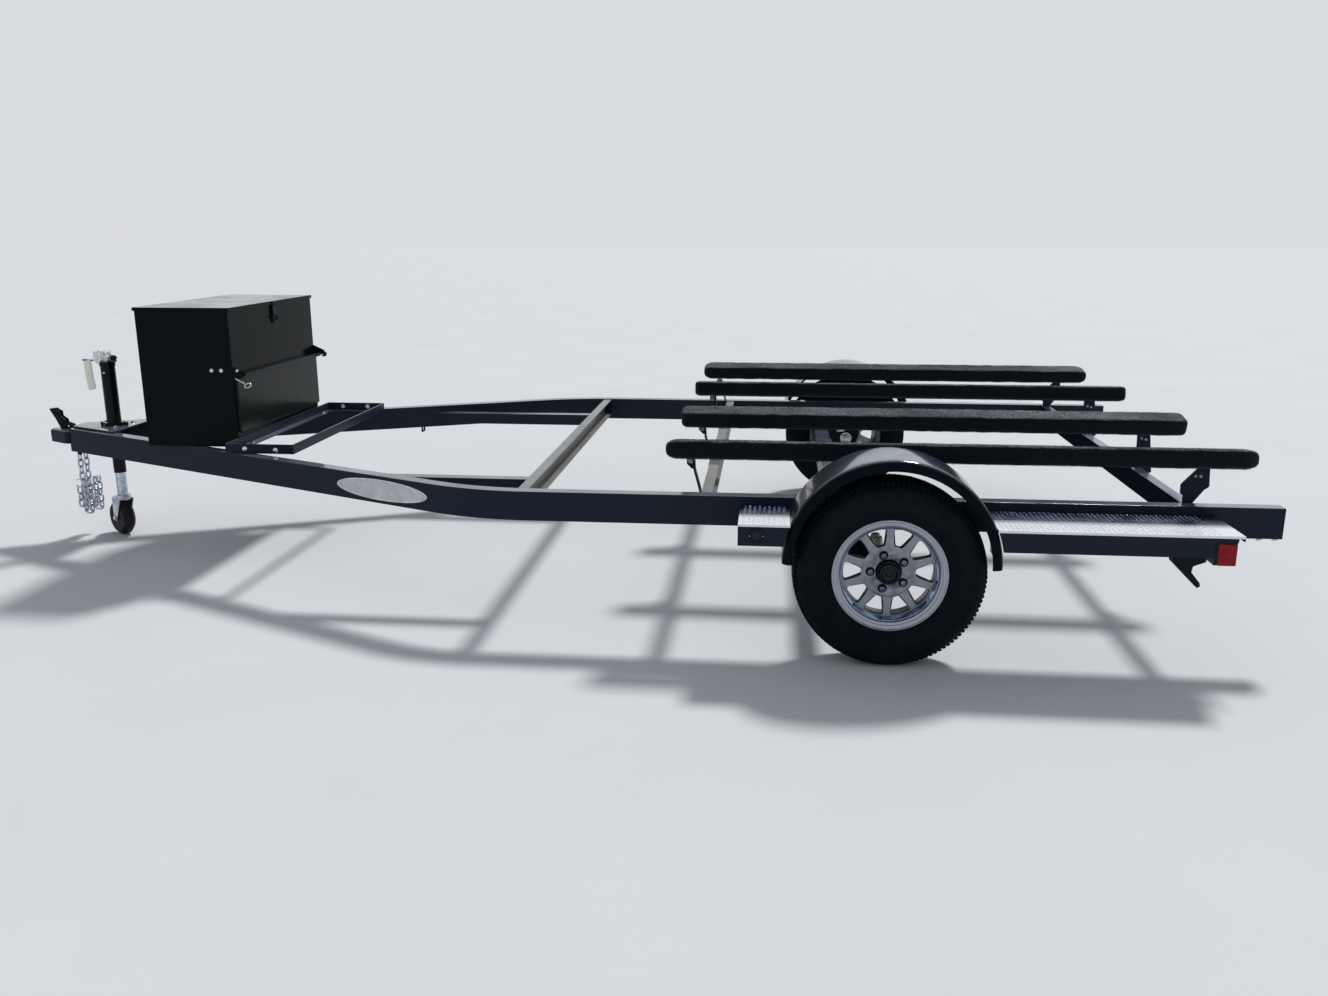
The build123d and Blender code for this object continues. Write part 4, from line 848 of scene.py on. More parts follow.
def makeTyre(side, name):
    s = tyreSize
    deep, lean = s["treadDeep"], s["shoulderLean"]
    half = [(treadRadius(out) - deep, out) for out in (0.0, 0.02, 0.04, 0.056)] + sideWall
    profile = half + [(radius, -out) for radius, out in reversed(half[1:-1])]
    shapes = [turned(profile + [profile[0]], 144)]
    pitch = 2 * pi / s["blocks"]
    for low, high, rowLean, shift in s["rows"]:
        for k in range(s["blocks"]):
            shapes.append(treadBlock((k + shift) * pitch, pitch * s["blockShare"], low, high, rowLean, deep))
    chance = random.Random(7)
    pitch = 2 * pi / s["shoulderBlocks"]
    wide = pitch * s["shoulderShare"]
    for sign in (1, -1):
        low, high = sorted(sign * out for out in s["shoulder"])
        for k in range(s["shoulderBlocks"]):
            shapes.append(treadBlock(k * pitch, wide, low, high, sign * lean,
                                     deep - 0.0006 + 0.0006 * chance.random()))
    edges = ((-wide, 0.0018), (-wide * 0.8, 0.0), (wide * 0.8, 0.0), (wide, 0.0018))
    faces = grid(len(lugSteps) - 1, 3)
    for sign in (1, -1):  # shoulder lugs that run down onto the sidewall
        for k in range(s["shoulderBlocks"]):
            points = []
            for radius, out in lugSteps:
                for swing, drop in edges:
                    angle, reach = k * pitch + sign * lean * 0.008 + swing, radius - drop
                    points.append(Vector((reach * cos(angle), reach * sin(angle), sign * (out - drop * 0.6))))
            shapes.append((points, faces if sign > 0 else flipped(faces)))
    makeWheelPieces(side, name, "tyre", [("tyre", joined(shapes), "tyreRubber", "tyre_rubber", 35)])


for name, side in bothNames:
    makeRim(side, name)
    makeHub(side, name)
    makeTyre(side, name)
print("wheels made")


# Carpeted bunks: a wrapped board with a fuzzy pile of short fibres

bunkSize = dict(
    width=0.105, thick=0.0645, edge=0.014, tilt=10.0, stations=170, endStations=8, around=44,
    outerEnd=(0.046, 0.021), innerEnd=(0.026, 0.011), endNarrow=0.052, sink=0.0012, lump=0.0024,
    fibres=26000, fibreLength=0.0050, fibreWidth=0.0011, fibreSpread=(0.7, 0.5, 0.5))


def bunkSection(share, width, thick, edge):  # point and outward direction on a rounded rectangle
    w, t = width / 2 - edge, thick / 2 - edge
    corner = pi / 2 * edge
    run = share * (4 * w + 4 * t + 4 * corner)
    for x, z, start, straight in ((w, -t, -pi / 2, 2 * t), (w, t, 0, 2 * w), (-w, t, pi / 2, 2 * t),
                                  (-w, -t, pi, 2 * w)):
        if run < corner:
            a = start + run / edge
            return Vector((x + edge * cos(a), z + edge * sin(a))), Vector((cos(a), sin(a)))
        run -= corner
        if run < straight:
            out = Vector((cos(start + pi / 2), sin(start + pi / 2)))
            return Vector((x, z)) + out * edge + Vector((-out.y, out.x)) * run, out
        run -= straight
    return Vector((w, -t - edge)), Vector((0, -1))


def makeBunk(node, seed):
    s = bunkSize
    around, stations = s["around"], s["stations"]
    low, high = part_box(node)
    centre, half = (low + high) / 2, (high.x - low.x) / 2
    inner = "inner" in node
    endLong, endDrop = s["innerEnd"] if inner else s["outerEnd"]
    lean = 1 if (centre.y > 0) == inner else -1
    turn = Matrix.Rotation(radians(-s["tilt"] * lean), 4, "X")
    matrix = Matrix.Translation(centre) @ turn

    def section(x):  # width, thickness and edge radius of the wrapped board at a place along it
        draw = max(0.0, 1 - (half - abs(x)) / endLong)
        trim = 1 - sqrt(max(0.0, 1 - draw * draw))
        thick = s["thick"] - 2 * endDrop * trim
        return s["width"] - s["endNarrow"] * trim, thick, min(s["edge"], thick / 2 - 0.001)

    points, faces = [], []
    for i in range(stations + 1):
        x = half * (2 * i / stations - 1)
        fromEnd = min(i, stations - i) / s["endStations"]
        if fromEnd < 1:  # closer stations round the ends
            x = (half - endLong * (1 - cos(pi / 2 * fromEnd))) * (1 if i > s["endStations"] else -1)
        for k in range(around):
            spot, out = bunkSection(k / around, *section(x))
            swell = noise.noise(Vector((x * 22, spot.x * 40, spot.y * 40 + seed * 9))) - 0.2
            points.append(Vector((x, *(spot + out * (swell * s["lump"] - s["sink"])))))
    for start in range(0, stations * around, around):
        for k in range(around):
            after = (k + 1) % around
            faces.append((start + k, start + around + k, start + around + after, start + after))
    faces += [tuple(range(around)), tuple(reversed(range(stations * around, (stations + 1) * around)))]
    makePiece(f"{node}.carpet", placed((points, faces), matrix), "bunkCarpet", 60, stands=(node,),
              even=False)

    chance = random.Random(seed)
    tips, facings = [], []
    for _ in range(s["fibres"]):
        x = chance.uniform(0.004 - half, half - 0.004)
        spot, out = bunkSection(chance.random(), *section(x))
        root = Vector((x, *(spot - out * s["sink"])))
        stray = Vector([chance.gauss(0, spread) for spread in s["fibreSpread"]])
        way = (stray + Vector((0, *out))).normalized()
        across = way.orthogonal().normalized() * s["fibreWidth"] / 2
        reach = s["fibreLength"] * chance.uniform(0.3, 1.0)
        tips.extend([root - across, root + across, root + way * reach])
        facings.extend([turn.to_3x3() @ Vector((0, *out))] * 3)
    strands = [(start, start + 1, start + 2) for start in range(0, len(tips), 3)]
    pile = makePiece(f"{node}.pile", placed((tips, strands), matrix), "bunkCarpet", 180, even=False)
    pile.data.normals_split_custom_set_from_vertices(facings)


for seed, node in enumerate(plainParts["bunkCarpet"]):
    makeBunk(node, seed + 1)
print("bunks carpeted")


# Tread plate on the steps: thin bright sheet with raised bars that alternate in direction

treadSize = dict(
    sheet=0.0018, barLong=0.0078, barWide=0.0030, barHigh=0.0014, pitch=0.0150, turnDown=0.006, margin=0.010,
    rearMargin=0.060)


def treadBar():
    s = treadSize
    points = []
    for level, grow in ((0.0, 1.0), (0.7, 0.82), (1.0, 0.45)):
        for x, y in arc(grow, 0, 2 * pi, 8)[:8]:
            waist = 0.55 + 0.45 * abs(y) / grow
            points.append(Vector((s["barLong"] * x, s["barWide"] * y * waist, level * s["barHigh"])))
    return points, [*band(0, 8, 8), *band(8, 16, 8), tuple(range(16, 24))]


def fenderReach(height):  # half length of the fender's outer arc at a height
    low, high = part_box("fender_left")
    radius = (high.x - low.x) / 2
    return sqrt(max(0.0, radius ** 2 - (height - (high.z - radius)) ** 2)) + 0.0008


def makeTread(part, ahead):
    s = treadSize
    low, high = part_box(f"{part}_left")
    top, outer, inner = high.z, high.y, railHigh.y
    rear = axleX + fenderReach(top) if ahead else low.x
    front = high.x if ahead else axleX - fenderReach(top)
    sheet = block((rear, inner + 0.0005, top), (front, outer, top + s["sheet"]), 0.0006, 1)
    lip = block((rear, outer - 0.0005, top - s["turnDown"]), (front, outer + 0.0011, top + s["sheet"] * 0.7),
                0.0005, 1)
    first, last = rear + (s["margin"] if ahead else s["rearMargin"]), front - s["margin"]
    columns, lines = int((last - first) / s["pitch"]), int((outer - inner - 0.02) / s["pitch"])
    bar, bars = treadBar(), []
    for i in range(columns):
        for j in range(lines):
            x = first + (last - first) * (i + 0.5) / columns
            y = inner + 0.012 + (outer - inner - 0.020) * (j + 0.5) / lines
            spin = Matrix.Rotation(radians(45 if (i + j) % 2 else -45), 4, "Z")
            bars.append(placed(bar, Matrix.Translation((x, y, top + s["sheet"])) @ spin))
    bothSides(f"{part}.tread", joined([sheet, lip]), "treadSheet")
    bothSides(f"{part}.bars", joined(bars), "treadBars")


makeTread("step_front", True)
makeTread("step_rear", False)
print("steps plated")


# Safety chains: round links along the same runs as the solids

chainSize = dict(ahead=3.459, y=0.022, drop=0.018, wire=0.006, slack=0.0008, pitch=0.030, inner=0.014,
                 hookRadius=0.0175, hookWire=0.0034)
chainRuns = {
    "left": (("down", 9), ("back", 1), ("up", 5), ("out", 1), ("down", 4), ("ahead", 1), ("up", 3)),
    "right": (("down", 8), ("back", 1), ("up", 4), ("out", 1), ("down", 5), ("ahead", 1), ("up", 2)),
}


def chainLink(straight, across, wire):  # closed round-wire link lying along local X
    end = arc(across, -pi / 2, pi / 2, 6, straight)
    return rod([(sign * x, sign * y, 0) for sign in (1, -1) for x, y in end], wire, 8, closed=True)


def makeChain(name, side):
    s = chainSize
    ways = {"down": (0, 0, -1), "up": (0, 0, 1), "ahead": (1, 0, 0), "back": (-1, 0, 0), "out": (0, side, 0)}
    route = [Vector(ways[way]) for way, count in chainRuns[name] for _ in range(count)]
    step = s["pitch"] - s["slack"]
    place = at(s["ahead"], side * s["y"], railLow.z - s["drop"] - (s["wire"] + s["slack"]) / 2)
    across = (s["inner"] + s["wire"]) / 2
    link = chainLink(s["pitch"] / 2 + s["wire"] / 2 - across, across, s["wire"] / 2 + 0.0009)
    hook = arc(s["hookRadius"], radians(240), radians(-40), 14, s["pitch"] / 2 + s["hookRadius"])
    thick = [s["hookWire"] * (0.7 + 0.5 * sin(pi * min(1, k / 10))) for k in range(15)]
    last = joined([link, rod([(x, y, 0) for x, y in hook], thick, 8)])
    before, wire = route[0], Vector((0, 1, 0))
    links = []
    for number, way in enumerate(route):
        if number:  # each link stands a quarter turned against the one before
            flat = before.cross(wire)
            wire = before if abs(way.dot(flat)) > 0.5 else flat
        seat = seatOf(way, wire, way.cross(wire), place + way * (step / 2))
        links.append(placed(last if number == len(route) - 1 else link, seat))
        place += way * step
        before = way
    makePiece(f"chain.{name}", joined(links), "zincPlate", 60, stands=(f"safety_chain_{name}",))


for name, side in bothNames:
    makeChain(name, side)
print("chains hung")


# Fenders: smooth rolled half rings with a hemmed lip

fenderSize = dict(wall=0.003, fold=0.024, lip=0.034, hem=0.0028, steps=120)


def makeFender():
    s = fenderSize
    fold, wall, hem = s["fold"], s["wall"], s["hem"]
    low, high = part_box("fender_left")
    radius = (high.x - low.x) / 2
    inner, outer = low.y, high.y
    foldAt, hemAt = (radius - fold, outer - fold), (radius - s["lip"] + hem, outer - hem)
    rim = [(radius - 0.0006, inner), (radius, inner + 0.0008)]
    rim += [(radius, inner + (outer - inner - fold) * k / 6) for k in range(1, 7)]
    rim += arc(fold, 0, pi / 2, 8, *foldAt)[1:]
    rim += [(hemAt[0], outer), *arc(hem, pi / 2, pi * 1.5, 8, *hemAt)[1:]]
    rim += [(radius - fold, outer - wall), *arc(fold - wall, pi / 2, 0, 5, *foldAt)[1:]]
    rim += [(radius - wall, inner + 0.0008), (radius - wall + 0.0006, inner)]
    points, faces = [], []
    count = len(rim)
    for step in range(s["steps"] + 1):
        angle = pi * step / s["steps"]
        points += [Vector((axleX + r * cos(angle), y, high.z - radius + r * sin(angle))) for r, y in rim]
    for step in range(s["steps"]):
        faces += band(step * count, (step + 1) * count, count)
    faces += [tuple(reversed(range(count))), tuple(range(s["steps"] * count, (s["steps"] + 1) * count))]
    return points, faces


bothSides("fenderShell", makeFender(), "fenderPaint", "fender", 40)
print("fenders rolled")


# Toolbox fittings: hasp and staple, hinge barrels, the door's hem, corner seams, latch pins, clip and knob

boxSize = dict(rear=2.515, front=2.900, half=0.400, lidRim=0.006, hem=0.0016, seam=0.0014, knuckle=0.0038,
               lidKnuckles=(15, 0.36, 0.048, 0.045), doorKnuckles=(8, 0.37, 0.0925, 0.088))
haspSize = dict(
    y=-0.005, drop=0.004, thick=0.0028, half=0.018, wire=0.0022, stapleDrop=0.069,
    strap=((-0.018, 0), (0.018, 0), (0.018, -0.058), (0.01116, -0.090), (-0.01116, -0.090), (-0.018, -0.058)),
    slot=((-0.0055, -0.052), (0.0055, -0.052), (0.0055, -0.078), (-0.0055, -0.078)),
    staple=((-0.0005, -0.0078), (0.012, -0.0078), (0.0195, -0.0045), (0.0215, 0), (0.0195, 0.0045),
            (0.012, 0.0078), (-0.0005, 0.0078)))
latchSize = dict(
    ahead=2.476, z=0.7815, pin=0.0038, clipFrom=(0.026, 0.007, -0.004), clip=0.0024,
    clipBends=((0, 0, 0), (-0.020, 0.001, -0.011), (-0.036, 0.002, -0.019)), ring=0.0026,
    ringMiddle=(-0.049, 0.002, -0.027))
pinHead = [(0, 0.0045), (0.004, 0.0043), (0.0055, 0.0028), (0.006, 0)]
pullKnob = [(0, 0.024), (0.007, 0.0232), (0.0115, 0.019), (0.013, 0.012), (0.0115, 0.005), (0.007, 0.001),
            (0.006, 0)]


def makeHasp():
    s = haspSize
    rear = along(boxSize["rear"])
    lid, top = rear - boxSize["lidRim"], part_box("toolbox_lid")[1].z
    hingeZ, stapleZ = top - s["drop"], top - s["stapleDrop"]
    facing = seatOf((0, -1, 0), (0, 0, 1), (-1, 0, 0), (lid - 0.0006, s["y"], hingeZ))
    outlines = [rounded(s["strap"], 0.008), rounded(s["slot"], 0.004)]
    strap = placed(pierced(outlines, s["thick"], 0.0005), facing)
    ends = [(lid - 0.0035, s["y"] + y, hingeZ) for y in (-s["half"], s["half"])]
    makePiece("hasp", joined([strap, rod(ends, 0.0038, 14)]), "blackSteel", 30, "toolbox_lid")
    rivets = [roundBolt((lid - 0.0034, s["y"] + y, top - 0.016), (-1, 0, 0), 0.0042, 0.0022)
              for y in (-0.010, 0.010)]
    makePiece("haspRivets", joined(rivets), "blackSteel", 40, "toolbox_lid")
    staple = rod([(rear - out, s["y"], stapleZ + z) for out, z in s["staple"]], s["wire"])
    plate = block((rear - 0.0022, s["y"] - 0.014, stapleZ - 0.020),
                  (rear + 0.0002, s["y"] + 0.014, stapleZ + 0.020), 0.0006, 1)
    makePiece("haspStaple", joined([staple, plate]), "blackSteel", 40)


def hingeBarrel(x, z, radius, knuckles):  # count, reach of the first, step and length
    count, first, step, long = knuckles
    starts = [step * k - first for k in range(count)]
    return joined([rod([(x, y, z), (x, y + long, z)], radius, 12) for y in starts])


def makeBoxEdges():
    s = boxSize
    rear, front = along(s["rear"]), along(s["front"])
    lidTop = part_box("toolbox_lid")[1].z
    low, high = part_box("toolbox_door")
    bodyLow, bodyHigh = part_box("toolbox_body")
    lidBarrel = hingeBarrel(front + 0.0040, lidTop - 0.019, s["knuckle"], s["lidKnuckles"])
    doorBarrel = hingeBarrel(rear - 0.0045, low.z - 0.0045, s["knuckle"] - 0.0002, s["doorKnuckles"])
    hem = rod([(low.x + 0.0012, y, high.z - 0.0008) for y in (low.y + 0.004, high.y - 0.004)], s["hem"], 12)
    makePiece("lidHinge", lidBarrel, "blackSteel", 40)
    makePiece("doorHinge", doorBarrel, "blackSteel", 40)
    # the hem's pale top line is a painted highlight from the rear paint's top colour
    makePiece("doorHem", hem, "rearPaint", 60, "toolbox_door")
    seams = []
    for y in (s["half"] - 0.0005, 0.0005 - s["half"]):
        for x in (rear + 0.0015, front - 0.0015):
            seams.append(weldBead((x, y, bodyLow.z + 0.004), (x, y, bodyHigh.z - 0.012), s["seam"], 4, 0.008))
    makePiece("boxSeams", joined(seams), "boxPaint", 60)


def makeLatches():
    s = latchSize
    x, z, half = along(s["ahead"]), s["z"], boxSize["half"]
    start = Vector((x, half, z)) + Vector(s["clipFrom"])
    clip = rod([start + Vector(bend) for bend in s["clipBends"]], s["clip"])
    middle = start + Vector(s["ringMiddle"])
    ring = []
    for k in range(20):
        a = 2 * pi * k / 20
        ring.append(middle + Vector((0.0135 * cos(a), 0.001 * sin(2 * a), 0.0085 * sin(a) - 0.0035 * cos(a))))
    head = placed(turned(pinHead, 16), turnedTo((x + 0.020, half + 0.0002, z + 0.026), (0, 1, 0)))
    makePiece("latchClip", joined([clip, rod(ring, s["ring"], closed=True), head]), "brightSteel", 40)
    near, far = (
        rod([(x, side * (half + outer), z), (x, side * (half - 0.030), z)], s["pin"], 12)
        for side, outer in ((1, 0.010), (-1, 0.012)))
    knob = placed(turned(pullKnob, 24), turnedTo((x, -half - 0.010, z), (0, -1, 0)))
    makePiece("latchPinNear", near, "blackSteel", 40)
    makePiece("latchPinFar", far, "brightSteel", 40)
    makePiece("latchKnobFar", knob, "knobPlastic", 40)


makeHasp()
makeBoxEdges()
makeLatches()
print("toolbox fitted")


# Bolts: kind, width, and for each the way its head faces and its metres ahead of the axle, Y and Z

boltWays = dict(left=(0, 1, 0), right=(0, -1, 0), back=(-1, 0, 0), up=(0, 0, 1), down=(0, 0, -1))
boltRows = {
    "boxSideBolts": ("round", 0.0085, [("left", 2.603, 0.400, 0.807), ("left", 2.563, 0.400, 0.807)]),
    "boxSideBoltsFar": ("round", 0.0085, [("right", 2.603, -0.400, 0.807), ("right", 2.563, -0.400, 0.807)]),
    "boxRearBolt": ("round", 0.0075, [("back", 2.5145, -0.0546, 0.5300)]),
    "rackSideBolts": ("round", 0.0105, [
        ("left", 2.435, 0.520, 0.517), ("left", 2.310, 0.520, 0.514),
        ("right", 2.435, -0.520, 0.517), ("right", 2.310, -0.520, 0.514)]),
    "rackLedgeBolts": ("hex", 0.013, [
        ("up", 2.490, 0.335, 0.504), ("up", 2.490, -0.400, 0.504), ("up", 2.262, 0.430, 0.504),
        ("up", 2.262, -0.430, 0.504)]),
    "rackInsideNuts": ("hex", 0.012, [
        ("left", 2.4389, -0.515, 0.520), ("left", 2.3161, -0.515, 0.520),
        ("right", 2.435, 0.515, 0.519), ("right", 2.310, 0.515, 0.519)]),
    "jackPlateBolts": ("hex", 0.013, [
        ("up", 3.331, 0.0, 0.521), ("up", 3.249, 0.0, 0.521), ("up", 3.245, 0.066, 0.507),
        ("up", 3.245, -0.066, 0.507)]),
    "railEndBolts": ("hex", 0.014, [
        ("down", ahead, y, railLow.z) for y in (1.031, -1.031) for ahead in (-1.178, -1.226)]),
}

for name, (kind, across, rows) in boltRows.items():
    heads, high = [], across * 0.5
    for number, (way, *place) in enumerate(rows):
        if kind == "round":
            heads.append(roundBolt(at(*place), boltWays[way], across, high))
        else:
            heads.append(hexBolt(at(*place), boltWays[way], across, high, across * 0.85, 0.4 * number))
    makePiece(name, joined(heads), "brightSteel", 28)
print("bolts set")


# Bunk brackets: six-sided plates over the rear outer ones, and bolts that are found from the bunks' own boxes

bracketSize = dict(rearWeb=-0.948, frontWeb=0.610, rearOuter=0.9772, frontOuter=0.9692, thick=0.006,
                   under=0.031)
gussetOutline = [(-0.0443, -0.0330), (-0.0763, -0.0330), (-0.0805, -0.0985), (-0.0340, -0.1320),
                 (-0.0360, -0.1340), (-0.0080, -0.1340), (0.0068, -0.1240), (0.0080, -0.0925)]
earBolts = dict(outer=((-0.034, -0.033), (-0.050, -0.033)), inner=((-0.050, -0.024), (-0.066, -0.028)))


def makeGussets():
    s = bracketSize
    low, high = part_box("bunk_outer_left")
    thick, middleZ = s["thick"] + 0.001, (low.z + high.z) / 2
    outline = [(along(s["rearWeb"]) + x, middleZ + z) for x, z in gussetOutline]
    seat = seatOf((1, 0, 0), (0, 0, 1), (0, -1, 0), (0, s["rearOuter"] + thick / 2, 0))
    plate = placed(slab(rounded(outline, 0.004, 3), thick, 0.0007, 1), seat)
    bothSides("rearGusset", plate, "framePaint", smooth=30)


def makeBracketBolts():
    s = bracketSize
    half = s["thick"] / 2
    heads, dark, small = [], [], []
    for node in plainParts["bunkCarpet"]:
        low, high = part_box(node)
        middle = (low + high) / 2
        under, side = middle.z - s["under"], 1 if "left" in node else -1
        kind = "outer" if "outer" in node else "inner"
        rearY, frontY = middle.y, middle.y
        if kind == "outer":
            rearY, frontY = side * s["rearOuter"], side * s["frontOuter"]
        for ahead, up in earBolts[kind]:
            for face in (1, -1):
                place = at(s["rearWeb"] + ahead, rearY + face * (half + 0.0005), under + up)
                small.append(hexBolt(place, (0, face, 0), 0.0062, 0.0035, 0.0048, ahead * 40))
        for face in (1, -1):
            place = at(s["frontWeb"] + 0.036, frontY + face * half, under - 0.014)
            dark.append(hexBolt(place, (0, face, 0), spin=0.5))
        heads.append(hexBolt(at(s["frontWeb"] + 0.0062, frontY, railHigh.z - 0.038), (1, 0, 0), spin=0.1))
    makePiece("bracketBolts", joined(heads), "brightSteel", 28)
    makePiece("bracketEarBolts", joined(dark), "dullSteel", 28)
    makePiece("bracketRearBolts", joined(small), "nutSteel", 28)


makeGussets()
makeBracketBolts()


# Welds where tubes and channels meet, each with its own seed

weldSize = dict(channel=0.0032, tube=0.0034, plate=0.0030, tubeSlope=2.1)


def makeWelds():
    s = weldSize
    beads = []
    for node in ("crossmember_front", "crossmember_bunk", "crossmember_rear"):
        low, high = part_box(node)
        for y in (high.y - 0.001, low.y + 0.001):
            for start, end, seed in (
                ((low.x, y, high.z - 0.0005), (high.x, y, high.z - 0.0005), 3),
                ((low.x + 0.001, y, low.z + 0.002), (low.x + 0.001, y, high.z - 0.002), 5),
                ((low.x, y, low.z + 0.0005), (high.x, y, low.z + 0.0005), 6),
            ):
                beads.append(weldBead(start, end, s["channel"], seed))
    for name, side in bothNames:
        low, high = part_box(f"brace_{name}")
        outer, inner = (high.y, low.y) if side > 0 else (low.y, high.y)
        slopeEnd = high.x - (high.y - low.y) * s["tubeSlope"]
        beads.append(weldBead((low.x + 0.001, low.y, high.z), (low.x + 0.001, high.y, high.z), s["plate"], 8))
        beads.append(weldBead((high.x - 0.004, inner + side * 0.002, high.z + 0.0005),
                              (slopeEnd, outer - side * 0.002, high.z + 0.0005), s["tube"], 9))
    low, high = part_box("jack_plate")
    for sign in (1, -1):
        beads.append(weldBead((low.x + 0.010, sign * (high.y - 0.006), high.z - 0.006),
                              (low.x + 0.060, sign * (high.y - 0.034), high.z - 0.006), s["plate"], 11))
    makePiece("frameWelds", joined(beads), "framePaint", 60)


makeWelds()
print("brackets bolted, frame welded")


# Lamps: ribbed red corner lamps with a black base, and round side markers with screws and two small steel
# dots on the lens as painted glints

tailSize = dict(wide=0.0614, base=0.0105, cap=0.0065, ribs=5, firstRib=0.012, ribPitch=0.0085, ribHigh=0.0022)
markerSize = dict(
    deep=0.009, bezel=[(0.024, 0), (0.024, 0.0045), (0.0225, 0.0072), (0.0195, 0.0082), (0.0175, 0.0075),
                       (0.0168, 0.0058)],
    dome=[(0, 0.0088), (0.006, 0.0085), (0.0115, 0.0076), (0.0155, 0.0062), (0.0172, 0.0048)],
    screw=[(0, 0.0014), (0.0022, 0.0010), (0.0027, 0)], screwAt=(0.0208, 0.0074),
    glintDot=[(0, 0.0016), (0.0028, 0.0010), (0.0034, 0)], glintDotAt=(0.0058, 0.0070))


def makeTailLamps():
    s = tailSize
    low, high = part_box("tail_lamps")
    rear, front, outer = low.x, high.x, high.y
    inner = outer - s["wide"]
    lens = [block((rear, inner, low.z), (front - 0.010, outer, high.z - 0.006), 0.004, 3)]
    for start, end in (((rear - 0.0006, inner + 0.004), (rear + 0.002, outer - 0.004)),
                       ((rear + 0.004, outer - 0.002), (front - 0.014, outer + 0.0006))):
        for k in range(s["ribs"]):  # raised lines on the lens's back and side
            z = low.z + s["firstRib"] + s["ribPitch"] * k
            lens.append(block((*start, z), (*end, z + s["ribHigh"]), 0.0005, 1))
    base = block((front - s["base"], inner + 0.0005, low.z + 0.0015), (front, outer - 0.0005, high.z), 0.002)
    cap = block((rear + 0.001, inner + 0.001, high.z - s["cap"]),
                (front - 0.009, outer - 0.001, high.z), 0.0015)
    for name, side in bothNames:
        shapes = [joined(lens), joined([base, cap])]
        lensShape, baseShape = shapes if side > 0 else [mirrored(shape) for shape in shapes]
        stands = ("tail_lamps",) if side > 0 else ()
        makePiece(f"tailLens.{name}", lensShape, "redLens", 30, stands=stands)
        makePiece(f"tailBase.{name}", baseShape, "knobPlastic", 30)


def makeMarkers():
    s = markerSize
    low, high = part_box("marker_lamps")
    screw, glintDot = turned(s["screw"], 12), turned(s["glintDot"], 10)
    (screwOut, screwUp), (glintDotOut, glintDotUp) = s["screwAt"], s["glintDotAt"]
    # the two steel dots on the dome are painted glints
    small = joined([shifted(screw, x, 0, screwUp) for x in (-screwOut, screwOut)]
                   + [shifted(glintDot, 0, y, glintDotUp) for y in (-glintDotOut, glintDotOut)])
    for name, side in bothNames:
        face = high.y if side > 0 else low.y
        seat = turnedTo(((low.x + high.x) / 2, face - side * s["deep"], (low.z + high.z) / 2), (0, side, 0))
        stands = ("marker_lamps",) if side > 0 else ()
        makePiece(f"markerBezel.{name}", placed(turned(s["bezel"], 40), seat), "knobPlastic",
                  stands=stands)
        makePiece(f"markerDome.{name}", placed(turned(s["dome"], 32), seat), "markerLens", 60)
        makePiece(f"markerScrews.{name}", placed(small, seat), "nutSteel", 40)


makeTailLamps()
makeMarkers()
print("lamps lensed")


# Jack: bevelled crank and knob, grease nipple, cap seam, crumpled film and a card tag

jackSize = dict(
    ahead=3.290, front=0.132, rear=0.050, wide=0.024, thick=0.007, angle=12.0,
    boss=[(0.0145, 0), (0.0145, 0.0035), (0.012, 0.0055), (0, 0.0055)],
    knob=[(0, 0.022), (0.006, 0.0217), (0.0105, 0.019), (0.0135, 0.015), (0.014, 0.010), (0.0125, 0.0055),
          (0.010, 0.002), (0.0105, 0)],
    nipple=[(0.0042, 0), (0.0042, 0.003), (0.0028, 0.0036), (0.0028, 0.0055), (0.0035, 0.0068),
            (0.002, 0.0088), (0, 0.009)],
    nippleY=0.0298, nippleZ=0.742,
    seam=[(0.0331, -0.0008), (0.0335, 0.0004), (0.0331, 0.0016)], seamDrop=0.009)
filmSize = dict(
    place=(3.302, 0.006, 0.811), reach=(0.042, 0.032, 0.031),
    profile=[(0, 1.0), (0.42, 0.90), (0.72, 0.68), (0.93, 0.34), (1.0, 0.0), (0.90, -0.42), (0.60, -0.80),
             (0, -1.0)],
    folds=((2.3, (4, 1, 7), 0.42), (6.1, (2, 9, 3), 0.20)), crease=(11.0, 0.13))
tagSize = dict(ahead=3.361, y=0.030, top=0.800, wide=0.034, long=0.128, thick=0.0008, columns=8, lines=18)


def makeJackTop():
    s = jackSize
    x, half = along(s["ahead"]), s["wide"] / 2
    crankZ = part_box("jack_crank")[0].z
    seat = Matrix.Translation((x, 0, crankZ)) @ Matrix.Rotation(radians(-s["angle"]), 4, "Z")
    outline = arc(half, -pi / 2, pi / 2, 12, s["front"] - half)
    outline += arc(half, pi / 2, pi * 1.5, 12, half - s["rear"])
    arm = joined([slab(outline, s["thick"], 0.0012), shifted(turned(s["boss"], 6), 0, 0, s["thick"])])
    knob = shifted(turned(s["knob"], 32), half - s["rear"], 0, s["thick"])
    nipple = placed(turned(s["nipple"], 12), turnedTo((x, s["nippleY"], s["nippleZ"]), (0, 1, 0)))
    seam = shifted(turned(s["seam"], 48), x, 0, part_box("jack_tube")[1].z - s["seamDrop"])
    makePiece("crankArm", placed(arm, seat), "crankPaint", 30, stands=("jack_crank",))
    makePiece("crankKnob", placed(knob, seat), "knobPlastic", 40)
    makePiece("jackNipple", nipple, "brightSteel")
    makePiece("jackSeam", seam, "jackPaint", 60)


def makeFilm():
    s = filmSize
    ball, faces = turned(s["profile"], 40)
    creaseScale, creaseDeep = s["crease"]
    points = []
    for p in ball:
        swell = 0.88 + abs(noise.noise(p * creaseScale)) * creaseDeep
        swell += sum(noise.noise(p * scale + Vector(shift)) * deep for scale, shift, deep in s["folds"])
        points.append(at(*s["place"]) + p * Vector(s["reach"]) * swell)
    makePiece("wrapFilm", (points, faces), "plasticFilm", smooth=20)


